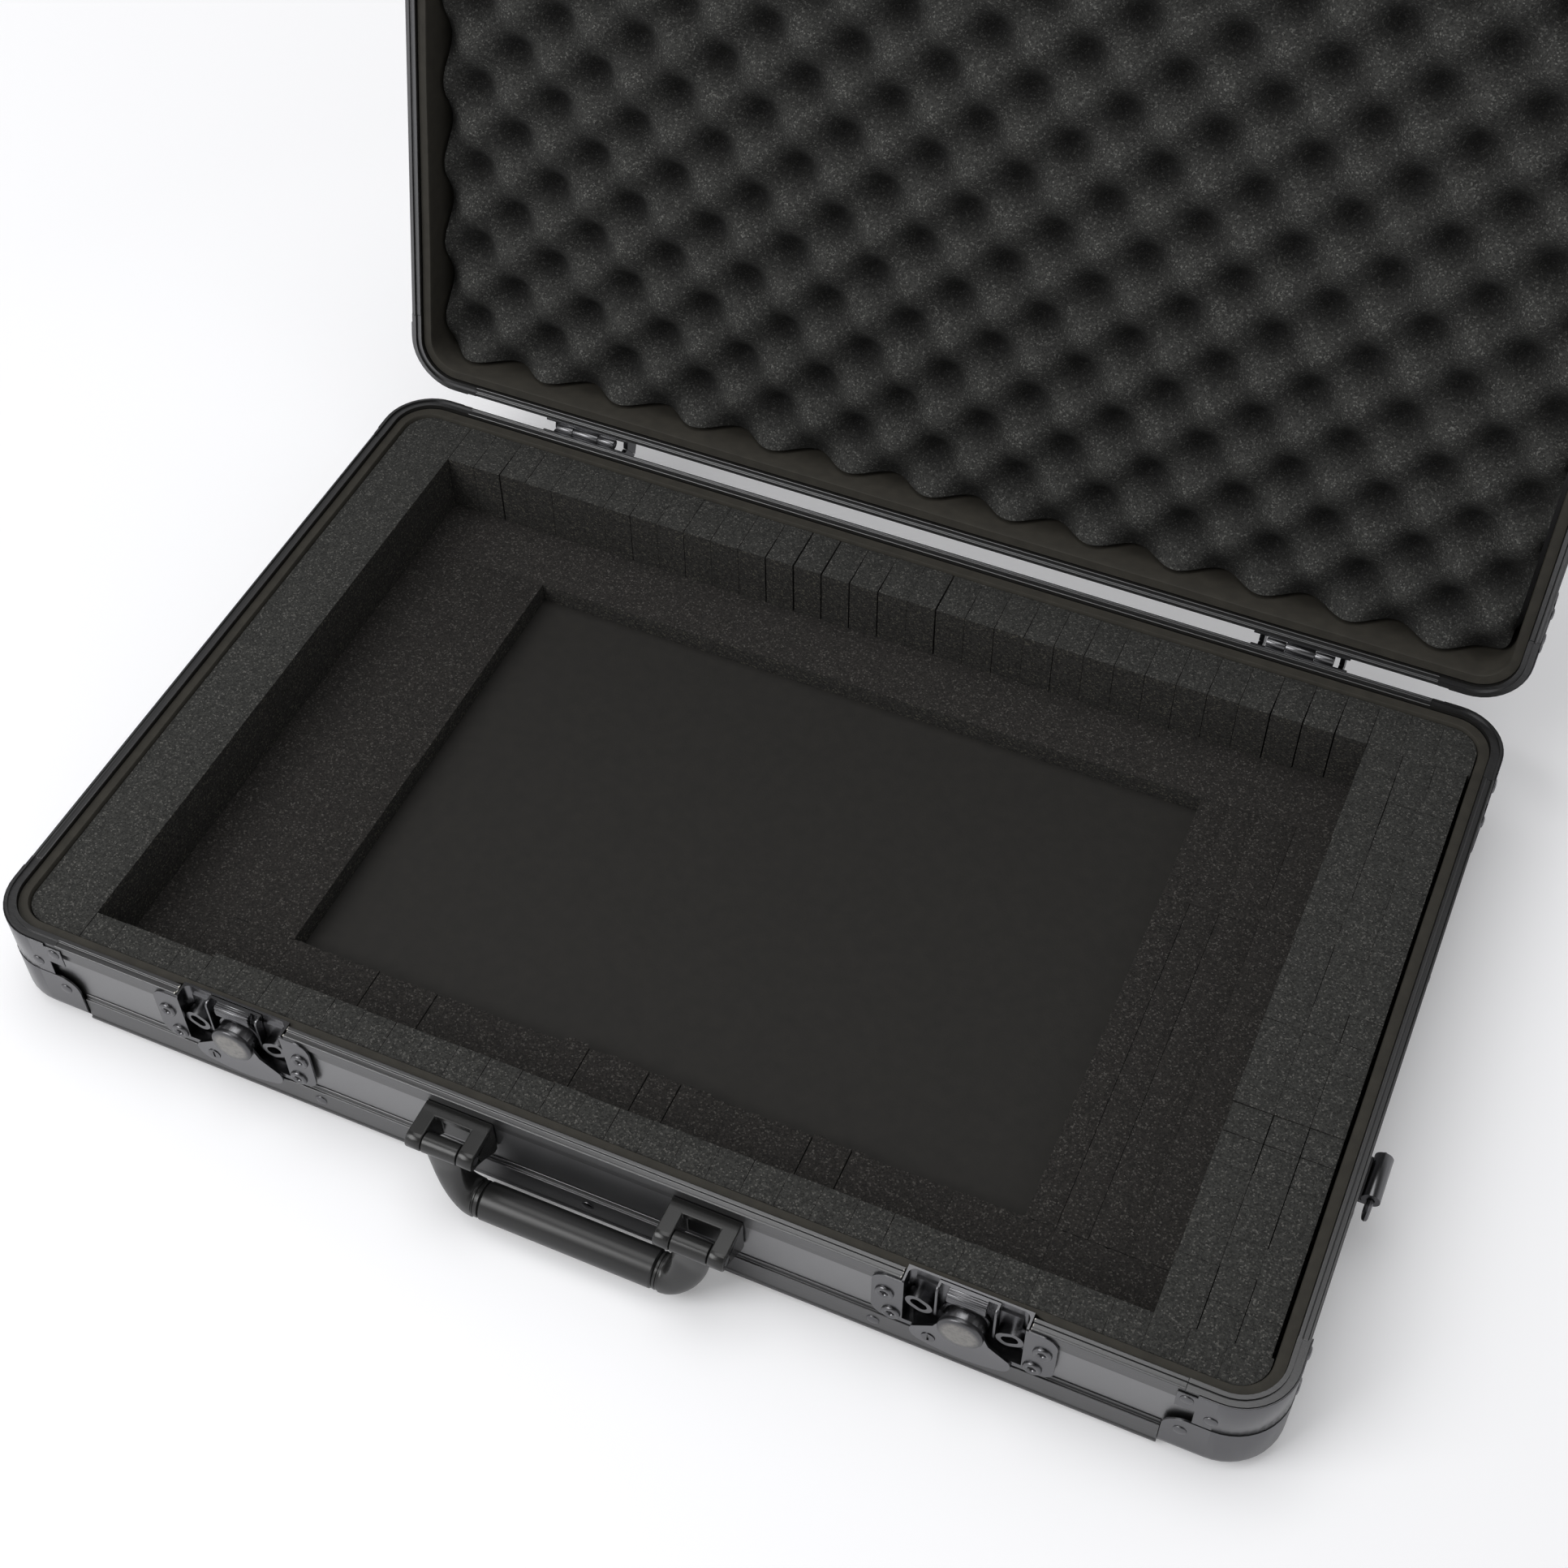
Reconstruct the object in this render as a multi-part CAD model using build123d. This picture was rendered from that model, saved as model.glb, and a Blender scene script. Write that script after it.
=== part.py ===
"""Shallow flight case: foam lined base, hinged lid, two lever latches, a drop handle and two strap rings.

Millimetres, +Z up, X along the front, -Y to the front. The origin is the centre of the base, at floor level.
Shell pieces are drawn in a half frame first: the rim plane is z = 0 and the half reaches down to -height.
"""

from build123d import *

import math
import os

# Overall sizes
WIDTH = 622.0
DEPTH = 400.0
CORNER_R = 26.0
BASE_HEIGHT = 55.0
LID_HEIGHT = 45.0
FOOT_DROP = 3.0

# Rim profile, measured inwards from the outer face and down from the rim
RIM_T = 5.5
BEAD_H = 5.3
FLANGE_INSET = 1.2
FLANGE_BOTTOM = 11.5
PANEL_INSET = 1.8
GROOVE_IN = 1.2
GROOVE_OUT = 3.5
GROOVE_DEPTH = 1.0
TONGUE_T = 1.2
TONGUE_H = 1.2
SEGMENT_END = 40.0

# Walls, rails and linings
RAIL_TOP = 15.0
RAIL_NECK = 3.0
RAIL_T = 1.0
RAIL_LIP = 1.5
RAIL_LEG = 20.0
FLOOR_T = 2.5
LINING_T = 5.5
LINING_DROP = 2.0
FLOOR_LINING_T = 1.5
SOFT_GAP = 0.3
CURVE_GAP = 0.1

# Corner armour
PLATE_T = 0.7
EAR_END = 43.0
PLATE_END = 34.4
EAR_TOP = 2.5
EAR_BOTTOM = 14.4
CAP_T = 1.0
CAP_END = 46.0
CAP_SHORT = 36.0
CAP_ROUND = 8.0
CAP_FLOOR_T = 1.9
BASE_CAP_RISE = 30.0
LID_CAP_RISE = 22.0

# Fasteners and feet
RIVET_R = 3.0
RIVET_H = 0.9
RIVET_SIDES = 8
RIVET_TAPER = 35
BIG_RIVET_R = 4.3
BIG_RIVET_H = 1.3
BIG_RIVET_SIDES = 12
BIG_RIVET_BEVEL = 30
TUBE_R = 1.5
RAIL_RIVET_PITCH = 137.0
FOOT_R = 9.0
FOOT_IN = 70.0

# Foam
UPPER_FOAM_TOP = 4.0
UPPER_FOAM_BOTTOM = 38.4
LEFT_BAND = 45.2
RIGHT_BAND = 62.5
FRONT_BAND = 28.1
BACK_BAND = 38.3
RECESS_CENTRE = (-5.7, -3.0)
RECESS_SIZE = (372.0, 257.0)
EGG_PITCH_X = 45.4
EGG_PITCH_Y = 45.2
EGG_PEAK = (-235.3, 12.7)
EGG_TOP = 12.0
EGG_AMPLITUDE = 7.0
EGG_GAP = 2.0

# Hinges
HINGE_X = 202.0
PART_GAP = 0.6
PIN_R = 1.1
KNUCKLE_R = 2.6
KNUCKLE_END = 10.0
KNUCKLE_MID = 15.0
KNUCKLE_GAP = 0.25
KNUCKLE_CLEAR = 0.1
LEAF_T = 1.2
LEAF_DROP = 26.0
LEAF_CHEEK_X = 21.0
CHEEK_T = 2.6
CHEEK_REACH = 22.0
STOP_GAP = 0.15
PIN_CLEAR = 0.06
OPEN_ANGLE = 102.5

# Latches
LATCH_X = 177.0
PAN_W = 55.5
PAN_T = 1.0
PAN_BACK = 7.5
PAN_FILLET = 3.0
PAN_DEPTH = 34.0
DISH_W = 82.0
DISH_T = 1.0
DISH_TOP = 1.5
DISH_BOTTOM = 36.0
NOTCH_CLEAR = 0.5
LEVER_Z = 20.0
BOSS_R = 9.8
BOSS_FRONT = 3.2
COLLAR_EXTRA = 1.2
BELL_HALF = 22.5
BELL_DROP = 25.4
BELL_T = 1.2
LEVER_GAP = 0.2
COLLAR_T = 1.0
MARK_W = 4.8
MARK_T = 0.7
MARK_PITCH = 2.8
MARK_DEPTH = 0.4
LOCK_X = 14.0
LOCK_DROP = 17.5
LOCK_R = 3.2
LOCK_RISE = 0.4
KEY_W = 1.0
KEY_DEPTH = 0.6
SHAFT_R = 3.0
LATCH_TRAVEL = 7.0
HOOK_W = 27.0
HOOK_BAR_W = 17.0
HOOK_BAR_H = 7.2
HOOK_RIBS = 3
HOOK_RIB_R = 0.9
HOOK_T = 1.2
HOOK_CHEEK_T = 1.0
HOOK_REACH = 5.2
HOOK_NOSE_R = 2.4
HOOK_TOP = 0.8
HOOK_LOW = 24.5
EYELET_X = 20.2
EYELET_Z = 18.0
EYELET_LENGTH = 12.6
EYELET_W = 9.6
EYELET_T = 4.6
EYELET_TILT = 30
EYELET_H = 5.0
EYELET_FOOT = 1.0
SLIDE_GAP = 0.3
LID_PAN_DEPTH = 16.0

# Handle
BRACKET_X = 60.0
BRACKET_W = 33.0
BRACKET_LEG = 7.5
BRACKET_TOP = 8.0
BRACKET_BOTTOM = 28.0
HANDLE_AXIS_OUT = 16.0
BARREL_R = 4.8
HANDLE_PIN_R = 2.0
GRIP_R = 9.0
GRIP_LENGTH = 86.0
GRIP_DROP = 32.7
GRIP_CORE_R = 4.0
ARM_GAP = 0.3
ARM_HALF_TOP = 3.2
ARM_HALF_KNEE = 3.8
ARM_KNEE = 12.0
ARM_FLARE = 7.5
ARM_END_R = 8.8
ARM_CORNER_R = 17.0
ARM_FILLET = 1.5

# Strap rings
STRAP_Y = -65.0
STRAP_OUT = 5.5
STRAP_DROP = 18.0
STRAP_BARREL_R = 4.2
STRAP_LENGTH = 23.0
RING_WIRE_R = 1.5
RING_GAP = 0.3
RING_DROP = 24.0
RING_SIDE_GAP = 1.2

# Worked out from the sizes above
RIM_Z = FOOT_DROP + BASE_HEIGHT
HANDLE_AXIS_DROP = BRACKET_TOP + BARREL_R
PIN_OUT = CURVE_GAP + LEAF_T + KNUCKLE_R + KNUCKLE_CLEAR
PIN_Y = DEPTH / 2 + PIN_OUT
PIN_Z = RIM_Z + PART_GAP / 2
LINING_OUT = RIM_T + CURVE_GAP
FOAM_INSET = LINING_OUT + LINING_T + SOFT_GAP
FRONT = -DEPTH / 2
WELL_X = (-WIDTH / 2 + LEFT_BAND, WIDTH / 2 - RIGHT_BAND)
WELL_Y = (-DEPTH / 2 + FRONT_BAND, DEPTH / 2 - BACK_BAND)


def block(x0, x1, y0, y1, z0, z1):
    """Box between two corners."""
    centre = ((x0 + x1) / 2, (y0 + y1) / 2, (z0 + z1) / 2)
    return Pos(*centre) * Box(abs(x1 - x0), abs(y1 - y0), abs(z1 - z0))


def plan(inset, z0, z1):
    """Rounded slab of the case's plan, inset from the outer faces."""
    outline = RectangleRounded(WIDTH - 2 * inset, DEPTH - 2 * inset, CORNER_R - inset)
    return Pos(0, 0, z0) * extrude(outline, z1 - z0)


def ring(outer, inner, z0, z1):
    """Wall that follows the plan between two insets."""
    return plan(outer, z0, z1) - plan(inner, z0 - 1, z1 + 1)


def four(solid):
    """The piece of the front left corner, and its mirror images in the other three."""
    left = [solid, mirror(solid, about=Plane.XZ)]
    return Compound(left + [mirror(one, about=Plane.YZ) for one in left])


def corner_zone(length, z0, z1):
    """Space round the front left corner, as far along both walls as length."""
    x0 = -WIDTH / 2
    return block(x0 - 5, x0 + length, FRONT - 5, FRONT + length, z0, z1)


def rim_section(tongue):
    """Closed rim profile: a bead with a groove or a tongue, over a thinner flange."""
    body = ring(0, RIM_T, -BEAD_H, 0) + ring(FLANGE_INSET, PANEL_INSET, -FLANGE_BOTTOM, -BEAD_H)
    middle = (GROOVE_IN + GROOVE_OUT) / 2
    if tongue:
        return body + ring(middle - TONGUE_T / 2, middle + TONGUE_T / 2, 0, TONGUE_H)
    return body - ring(GROOVE_IN, GROOVE_OUT, -GROOVE_DEPTH, 1)


def straight(solid, side, end):
    """The straight run of a ring on one side: front, back, left or right."""
    x = WIDTH / 2 - end
    y = DEPTH / 2 - end
    zones = {
        "front": block(-x, x, -DEPTH, -y, -99, 99),
        "back": block(-x, x, y, DEPTH, -99, 99),
        "left": block(-WIDTH, -x, -y, y, -99, 99),
        "right": block(x, WIDTH, -y, y, -99, 99),
    }
    return solid & zones[side]


def latch_notches(solid, depth, floor):
    """Cuts the two openings that the latch pans sit in."""
    half = PAN_W / 2 + NOTCH_CLEAR
    for x in (-LATCH_X, LATCH_X):
        solid = solid - block(x - half, x + half, FRONT - 5, FRONT + depth, -floor, 9)
    return solid


def side_panel(side, height, pan_depth):
    """Laminated board of one wall, cut away for the corner caps and the latches."""
    board = straight(ring(PANEL_INSET, RIM_T, -height + RAIL_T, -BEAD_H), side, CORNER_R)
    cut = -height + CAP_ROUND - RAIL_T
    for x in (-WIDTH / 2, WIDTH / 2):
        for y in (-DEPTH / 2, DEPTH / 2):
            board = board - block(x - CAP_END, x + CAP_END, y - CAP_END, y + CAP_END, -height, cut)
    if side == "front":
        return latch_notches(board, RIM_T + 1, pan_depth + NOTCH_CLEAR)
    return board


def floor_panel(height):
    """Large board of the half, inside the four walls."""
    return plan(LINING_OUT, -height + RAIL_T, -height + RAIL_T + FLOOR_T)


def corner_post(tongue, height):
    """Quarter round post of one corner with the rim profile on top."""
    post = ring(0, RIM_T, -height + CAP_ROUND - RAIL_T, -BEAD_H) & corner_zone(CORNER_R, -99, 0)
    rim = rim_section(tongue) & corner_zone(SEGMENT_END, -99, 99)
    flange = ring(FLANGE_INSET - 1, PANEL_INSET, -FLANGE_BOTTOM - 1, -BEAD_H) & corner_zone(CORNER_R, -99, 0)
    return post + (rim - flange)


def corner_plate(height, cap_rise):
    """Pressed plate round the corner, with an ear along each wall."""
    skin = ring(-CURVE_GAP - PLATE_T, -CURVE_GAP, -height + cap_rise + 0.2, -0.4)
    body = skin & corner_zone(PLATE_END, -99, 0)
    ears = skin & corner_zone(EAR_END, -EAR_BOTTOM, -EAR_TOP)
    return body + ears


def cap_corner_cuts(height, cap_rise):
    """Rounds the upper inner end of both legs of a corner cap."""
    top = -height + cap_rise
    size = CAP_END - CAP_SHORT
    x = -WIDTH / 2 + CAP_SHORT
    y = FRONT + CAP_SHORT
    low = block(x, x + size + 1, FRONT - 5, FRONT + 9, top - size, top + 1)
    front = low - Pos(x, FRONT, top - size) * Rot(90, 0, 0) * Cylinder(size, 40)
    low = block(-WIDTH / 2 - 5, -WIDTH / 2 + 9, y, y + size + 1, top - size, top + 1)
    side = low - Pos(-WIDTH / 2, y, top - size) * Rot(0, 90, 0) * Cylinder(size, 40)
    return [front, side]


def corner_cap(height, cap_rise):
    """Deep drawn cap that wraps the two walls and the large face at a corner."""
    out = CURVE_GAP + CAP_T
    top = -height + cap_rise
    outer = plan(-out, -height - RAIL_T, top)
    outer = fillet(outer.edges().group_by(Axis.Z)[0], CAP_ROUND)
    inner = plan(-CURVE_GAP, -height - RAIL_T + CAP_FLOOR_T, top + 1)
    inner = chamfer(inner.edges().group_by(Axis.Z)[0], CAP_ROUND - CAP_T - 3.0)
    shell = (outer & corner_zone(CAP_END, -99, 99)) - inner
    for cut in cap_corner_cuts(height, cap_rise):
        shell = shell - cut
    return shell


def rail(side, height):
    """Edge rail: a wall with a lip and a thin neck above, and a leg under the large panel."""
    wall = ring(0, PANEL_INSET, -height, -height + RAIL_TOP)
    neck = ring(FLANGE_INSET, PANEL_INSET, -height + RAIL_TOP, -height + RAIL_TOP + RAIL_NECK)
    lip = ring(-0.5, 0, -height, -height + RAIL_LIP)
    leg = ring(PANEL_INSET, RAIL_LEG, -height, -height + RAIL_T)
    return straight(wall + neck + lip + leg, side, CAP_END + 0.2)


def wall_lining(height):
    """Strip of closed cell foam inside the walls, thinned behind the latch pans."""
    low = -height + RAIL_T + FLOOR_T + FLOOR_LINING_T
    strip = ring(LINING_OUT, LINING_OUT + LINING_T, low, -LINING_DROP)
    return latch_notches(strip, PAN_BACK + NOTCH_CLEAR, height)


def rivet_head(radius, height):
    """Low faceted rivet head on the XY plane."""
    return extrude(RegularPolygon(radius, RIVET_SIDES), height, taper=RIVET_TAPER)


def on_front(x, z, out):
    """Puts +Z outwards from the front wall, out from its outer face."""
    return Pos(x, FRONT - out, z) * Rot(90, 0, 0)


def on_left(y, z, out):
    """Puts +Z outwards from the left wall, out from its outer face."""
    return Pos(-WIDTH / 2 - out, y, z) * Rot(0, -90, 0)


def half_rivets(height, cap_rise):
    """Rivet heads of the corner armour and of the rails in one half."""
    head = rivet_head(RIVET_R, RIVET_H)
    plate = CURVE_GAP + PLATE_T
    spots = [(27.2, -17.2, plate), (38.5, -6.9, plate), (38.0, -height + cap_rise - 9.2, CURVE_GAP + CAP_T)]
    solids = []
    for along, z, out in spots:
        solids.append(on_front(-WIDTH / 2 + along, z, out) * head)
        solids.append(on_left(FRONT + along, z, out) * head)
    heads = list(four(Compound(solids)).solids())
    z = -height + 8.5
    for x in (-RAIL_RIVET_PITCH, 0, RAIL_RIVET_PITCH):
        one = on_front(x, z, 0) * head
        heads += [one, mirror(one, about=Plane.XZ)]
    for y in (-RAIL_RIVET_PITCH / 2, RAIL_RIVET_PITCH / 2):
        one = on_left(y, z, 0) * head
        heads += [one, mirror(one, about=Plane.YZ)]
    return heads


def big_rivet():
    """Tubular rivet head with its open middle."""
    head = extrude(RegularPolygon(BIG_RIVET_R, BIG_RIVET_SIDES), BIG_RIVET_H, taper=BIG_RIVET_BEVEL)
    return head - Pos(0, 0, BIG_RIVET_H / 3) * extrude(RegularPolygon(TUBE_R, RIVET_SIDES), BIG_RIVET_H)


def latch_rivets(drop):
    """Four rivets of one latch plate, at its centre; drop is 1 down from the rim."""
    solids = []
    for x, z in ((35.0, -15.5), (31.7, -31.0)):
        for side in (-1, 1):
            solids.append(on_front(side * x, z * drop, DISH_T) * big_rivet())
    return solids


def at_latches(solids):
    """Copies solids drawn at x = 0 to both latch centres."""
    return [Pos(x, 0, 0) * one for x in (-LATCH_X, LATCH_X) for one in solids]


def pan_space(depth, floor, gap):
    """Room inside a pan, open at the rim and at the front, less a gap at its sides."""
    half = PAN_W / 2 - PAN_T - gap
    room = block(-half, half, FRONT - 9, FRONT + PAN_BACK - PAN_T, -depth + floor, 9)
    return fillet(room.edges().filter_by(Axis.Z).sort_by(Axis.Y)[-2:], PAN_FILLET)


def pan(depth, floor):
    """Folded pan that sits in the notch of the rim, open at the rim and at the front."""
    half = PAN_W / 2
    return block(-half, half, FRONT - 0.5, FRONT + PAN_BACK, -depth, -0.3) - pan_space(depth, floor, 0)


def dish_plate(top, bottom, depth, floor):
    """Face plate of a latch: two wings round the mouth of the pan."""
    outline = RectangleRounded(DISH_W, bottom - top, 7.0)
    flat = on_front(0, -(top + bottom) / 2, 0) * extrude(outline, DISH_T)
    half = PAN_W / 2 - PAN_T
    return flat - block(-half, half, FRONT - 9, FRONT + 9, -depth + floor, 9)


def shaft_bore(radius):
    """Bore for the lever shaft, through everything behind the boss."""
    return Pos(0, FRONT + PAN_BACK, -LEVER_Z) * Rot(90, 0, 0) * Cylinder(radius, 12)


def latch_dish():
    """Base half of a latch: face plate and pan in one pressing, with the shaft's bore."""
    body = dish_plate(DISH_TOP, DISH_BOTTOM, PAN_DEPTH, PAN_T) + pan(PAN_DEPTH, PAN_T)
    return body - shaft_bore(SHAFT_R + PIN_CLEAR)


def eyelet(side):
    """Raised oval loop that guides one edge of the hook, on its foot."""
    back = FRONT + PAN_BACK - PAN_T
    outline = SlotOverall(EYELET_LENGTH, EYELET_W) - SlotOverall(EYELET_LENGTH - EYELET_T, EYELET_W - EYELET_T)
    turned = Rot(90, 0, 0) * Rot(0, 0, EYELET_TILT * side) * extrude(outline, EYELET_H)
    loop = Pos(side * EYELET_X, back - EYELET_FOOT, -EYELET_Z) * turned
    inner = side * (HOOK_W / 2 + SLIDE_GAP)
    outer = side * (PAN_W / 2 - PAN_T - PAN_FILLET)
    low = -EYELET_Z - EYELET_LENGTH
    foot = block(*sorted((inner, outer)), back - EYELET_FOOT, back, low, -EYELET_Z + EYELET_LENGTH)
    return (loop & pan_space(PAN_DEPTH, PAN_T, CURVE_GAP)) + foot


def hook():
    """Sliding hook: a channel with two cheeks, a slot round the shaft and a ribbed bar on top."""
    back = FRONT + PAN_BACK - PAN_T - SLIDE_GAP
    half = HOOK_W / 2
    web = block(-half, half, back - HOOK_T, back, -HOOK_LOW, -HOOK_TOP)
    slot_w = 2 * (SHAFT_R + SLIDE_GAP)
    slot = Rot(90, 0, 0) * Rot(0, 0, 90) * extrude(SlotOverall(slot_w + LATCH_TRAVEL, slot_w), PAN_DEPTH)
    web = web - Pos(0, FRONT + PAN_DEPTH / 2, -LEVER_Z - LATCH_TRAVEL / 2) * slot
    cheek = block(half - HOOK_CHEEK_T, half, back - HOOK_REACH, back, -HOOK_LOW, -HOOK_TOP)
    cheek = fillet(cheek.edges().filter_by(Axis.X).sort_by(Axis.Y)[:2], HOOK_NOSE_R)
    body = web + cheek + mirror(cheek, about=Plane.YZ)
    front = back - HOOK_REACH + HOOK_RIB_R
    bar_low = -HOOK_TOP - HOOK_BAR_H
    body = body + block(-HOOK_BAR_W / 2, HOOK_BAR_W / 2, front, back - HOOK_T, bar_low, -HOOK_TOP)
    for i in range(HOOK_RIBS):
        z = -HOOK_TOP - HOOK_BAR_H * (i + 0.5) / HOOK_RIBS
        body = body + Pos(0, front, z) * Rot(0, 90, 0) * Cylinder(HOOK_RIB_R, HOOK_BAR_W)
    return body


def bell_outline():
    """Bell shape of the lever: the boss's own round on top, and a wide bowed lower edge."""
    waist = (-BOSS_R - 2.6, -6.0)
    hip = (-BELL_HALF + 0.8, -13.0)
    toe = (-BELL_HALF + 5.5, -BELL_DROP + 2.4)
    with BuildSketch() as sketch:
        with BuildLine():
            left = Polyline([(-BOSS_R, 0), waist, hip])
            low = ThreePointArc(left @ 1, (-BELL_HALF, -18.0), toe)
            foot = ThreePointArc(low @ 1, (0, -BELL_DROP), (-toe[0], toe[1]))
            right_low = ThreePointArc(foot @ 1, (BELL_HALF, -18.0), (-hip[0], hip[1]))
            right = Polyline([right_low @ 1, (-waist[0], waist[1]), (BOSS_R, 0)])
            ThreePointArc(right @ 1, (0, BOSS_R), left @ 0)
        make_face()
    return sketch.sketch


def lever():
    """Turning lever: bell plate, round boss with a collar and two marks, and its shaft."""
    y = FRONT - DISH_T - LEVER_GAP
    front = FRONT - BOSS_FRONT
    hook_front = FRONT + PAN_BACK - PAN_T - SLIDE_GAP - HOOK_T
    collar_back = hook_front - SLIDE_GAP - LEVER_GAP
    centre = Pos(0, 0, -LEVER_Z) * Rot(90, 0, 0)
    plate = centre * Pos(0, 0, -y) * extrude(bell_outline(), BELL_T)
    boss = centre * Pos(0, 0, -collar_back) * extrude(Circle(BOSS_R), collar_back - front)
    collar = centre * Pos(0, 0, -collar_back) * extrude(Circle(BOSS_R + COLLAR_EXTRA), COLLAR_T)
    shaft = centre * Pos(0, 0, -FRONT - PAN_BACK) * extrude(Circle(SHAFT_R), FRONT + PAN_BACK - collar_back)
    for mark in (-1, 1):
        z = -LEVER_Z + 3.2 + mark * MARK_PITCH / 2
        boss = boss - block(-MARK_W / 2, MARK_W / 2, front - 1, front + MARK_DEPTH, z - MARK_T / 2, z + MARK_T / 2)
    return plate + boss + collar + shaft - lock_seat(LOCK_R)


def lock_place():
    """Centre of the key barrel on the lever's back face."""
    return Pos(-LOCK_X, FRONT - DISH_T - LEVER_GAP, -LEVER_Z - LOCK_DROP) * Rot(90, 0, 0)


def lock_seat(radius):
    """Round seat of the key barrel in the lever."""
    return lock_place() * Cylinder(radius, 6)


def lock_barrel():
    """Key barrel with its slot."""
    body = lock_place() * extrude(Circle(LOCK_R - CURVE_GAP), BELL_T + LOCK_RISE)
    key = lock_place() * Pos(0, 0, BELL_T + LOCK_RISE) * Box(KEY_W, 2 * LOCK_R - 2, 2 * KEY_DEPTH)
    return body - key


def lid_catch():
    """Lid half of a latch: plate and pan in one pressing, with the strike that the hook rises behind."""
    body = dish_plate(DISH_TOP, LID_PAN_DEPTH + 6.0, LID_PAN_DEPTH, PAN_T) + pan(LID_PAN_DEPTH, PAN_T)
    half = PAN_W / 2
    strike = block(-half + 0.5, half - 0.5, FRONT - DISH_T, FRONT + 0.4, -3.4, -0.8)
    return body + strike


def lid_catch_rivets():
    """Two rivets of one lid catch, one on each wing."""
    return [on_front(side * 34.5, -12.0, DISH_T) * big_rivet() for side in (-1, 1)]


def handle_axis():
    """Height and distance of the handle's pivot, in the base's half frame."""
    return FRONT - HANDLE_AXIS_OUT, -HANDLE_AXIS_DROP


def bracket_cheek(x0, x1):
    """Side cheek of a handle bracket: deep at the wall, round at the pivot."""
    y, z = handle_axis()
    wall = FRONT + FLANGE_INSET
    with BuildSketch(Plane.YZ) as sketch:
        with BuildLine():
            top = Line((wall, -BRACKET_TOP), (y, -BRACKET_TOP))
            nose = ThreePointArc(top @ 1, (y - BARREL_R, z), (y, z - BARREL_R))
            skirt = Spline([nose @ 1, (y + 7.0, z - BARREL_R - 4.5), (wall - 3.0, -BRACKET_BOTTOM)])
            foot = Line(skirt @ 1, (wall, -BRACKET_BOTTOM))
            Line(foot @ 1, top @ 0)
        make_face()
    return Pos(x0, 0, 0) * extrude(sketch.sketch, x1 - x0)


def handle_bracket():
    """Bracket drawn at x = 0: back plate, top bridge and two cheeks bored for the pin."""
    half = BRACKET_W / 2
    y, z = handle_axis()
    wall = FRONT + FLANGE_INSET
    body = block(-half, half, wall - 3.0, wall, -BRACKET_BOTTOM, -BRACKET_TOP)
    body = body + bracket_cheek(-half, -half + BRACKET_LEG) + bracket_cheek(half - BRACKET_LEG, half)
    body = body + block(-half, half, wall - 6.5, wall, -BRACKET_TOP - 3.0, -BRACKET_TOP)
    return body - Pos(0, y, z) * Rot(0, 90, 0) * Cylinder(HANDLE_PIN_R, BRACKET_W + 2)


def handle_pin():
    """Pivot pin of one handle bracket, fixed in its cheeks."""
    y, z = handle_axis()
    return Pos(0, y, z) * Rot(0, 90, 0) * Cylinder(HANDLE_PIN_R, BRACKET_W)


def arm_front(inner, outer):
    """Outline of the right arm from the front: straight at the bracket, with a wide outer corner at the grip."""
    end = GRIP_LENGTH / 2
    low = -GRIP_DROP - ARM_END_R
    hollow = inner - end
    neck = low + 2 * ARM_END_R + hollow
    corner = (outer - ARM_CORNER_R, low + ARM_CORNER_R)
    slant = math.sqrt(0.5)
    with BuildSketch(Plane.XZ) as sketch:
        with BuildLine():
            inside = Line((inner, 0), (inner, neck))
            bend = ThreePointArc(inside @ 1, (end + hollow * slant, neck - hollow * slant), (end, neck - hollow))
            foot = Polyline([bend @ 1, (end, low), (corner[0], low)])
            round_off = (corner[0] + ARM_CORNER_R * slant, corner[1] - ARM_CORNER_R * slant)
            outside = ThreePointArc(foot @ 1, round_off, (outer, corner[1]))
            Polyline([outside @ 1, (outer, 0), inside @ 0])
        make_face()
    return sketch.sketch


def arm_side():
    """Outline of an arm from its side: flat at the pivot and round at the grip."""
    low = -GRIP_DROP + math.sqrt(ARM_END_R ** 2 - ARM_FLARE ** 2)
    with BuildSketch(Plane.YZ) as sketch:
        with BuildLine():
            front = Polyline([(-ARM_HALF_TOP, 0), (-ARM_HALF_KNEE, -ARM_KNEE), (-ARM_FLARE, low)])
            end = ThreePointArc(front @ 1, (0, -GRIP_DROP - ARM_END_R), (ARM_FLARE, low))
            Polyline([end @ 1, (ARM_HALF_KNEE, -ARM_KNEE), (ARM_HALF_TOP, 0), front @ 0])
        make_face()
    return sketch.sketch


def handle_arm():
    """Right arm of the handle: a barrel at the pivot, with the arm that turns in to the grip."""
    y, z = handle_axis()
    wide = BRACKET_W - 2 * BRACKET_LEG - 2 * ARM_GAP
    inner, outer = BRACKET_X - wide / 2, BRACKET_X + wide / 2
    front = extrude(arm_front(inner, outer), GRIP_R + 1, both=True)
    arm = front & extrude(arm_side(), outer + 1)
    barrel = Pos(BRACKET_X, 0, 0) * Rot(0, 90, 0) * Cylinder(BARREL_R, wide)
    return Pos(0, y, z) * (barrel + arm)


def handle_frame():
    """Both arms on one core rod, bored for the pivot pins."""
    y, z = handle_axis()
    arm = handle_arm()
    rod = Pos(0, y, z - GRIP_DROP) * Rot(0, 90, 0) * Cylinder(GRIP_CORE_R, GRIP_LENGTH + 6)
    bore = Pos(0, y, z) * Rot(0, 90, 0) * Cylinder(HANDLE_PIN_R + PIN_CLEAR, 2 * BRACKET_X + BRACKET_W)
    return arm + mirror(arm, about=Plane.YZ) + rod - bore


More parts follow.
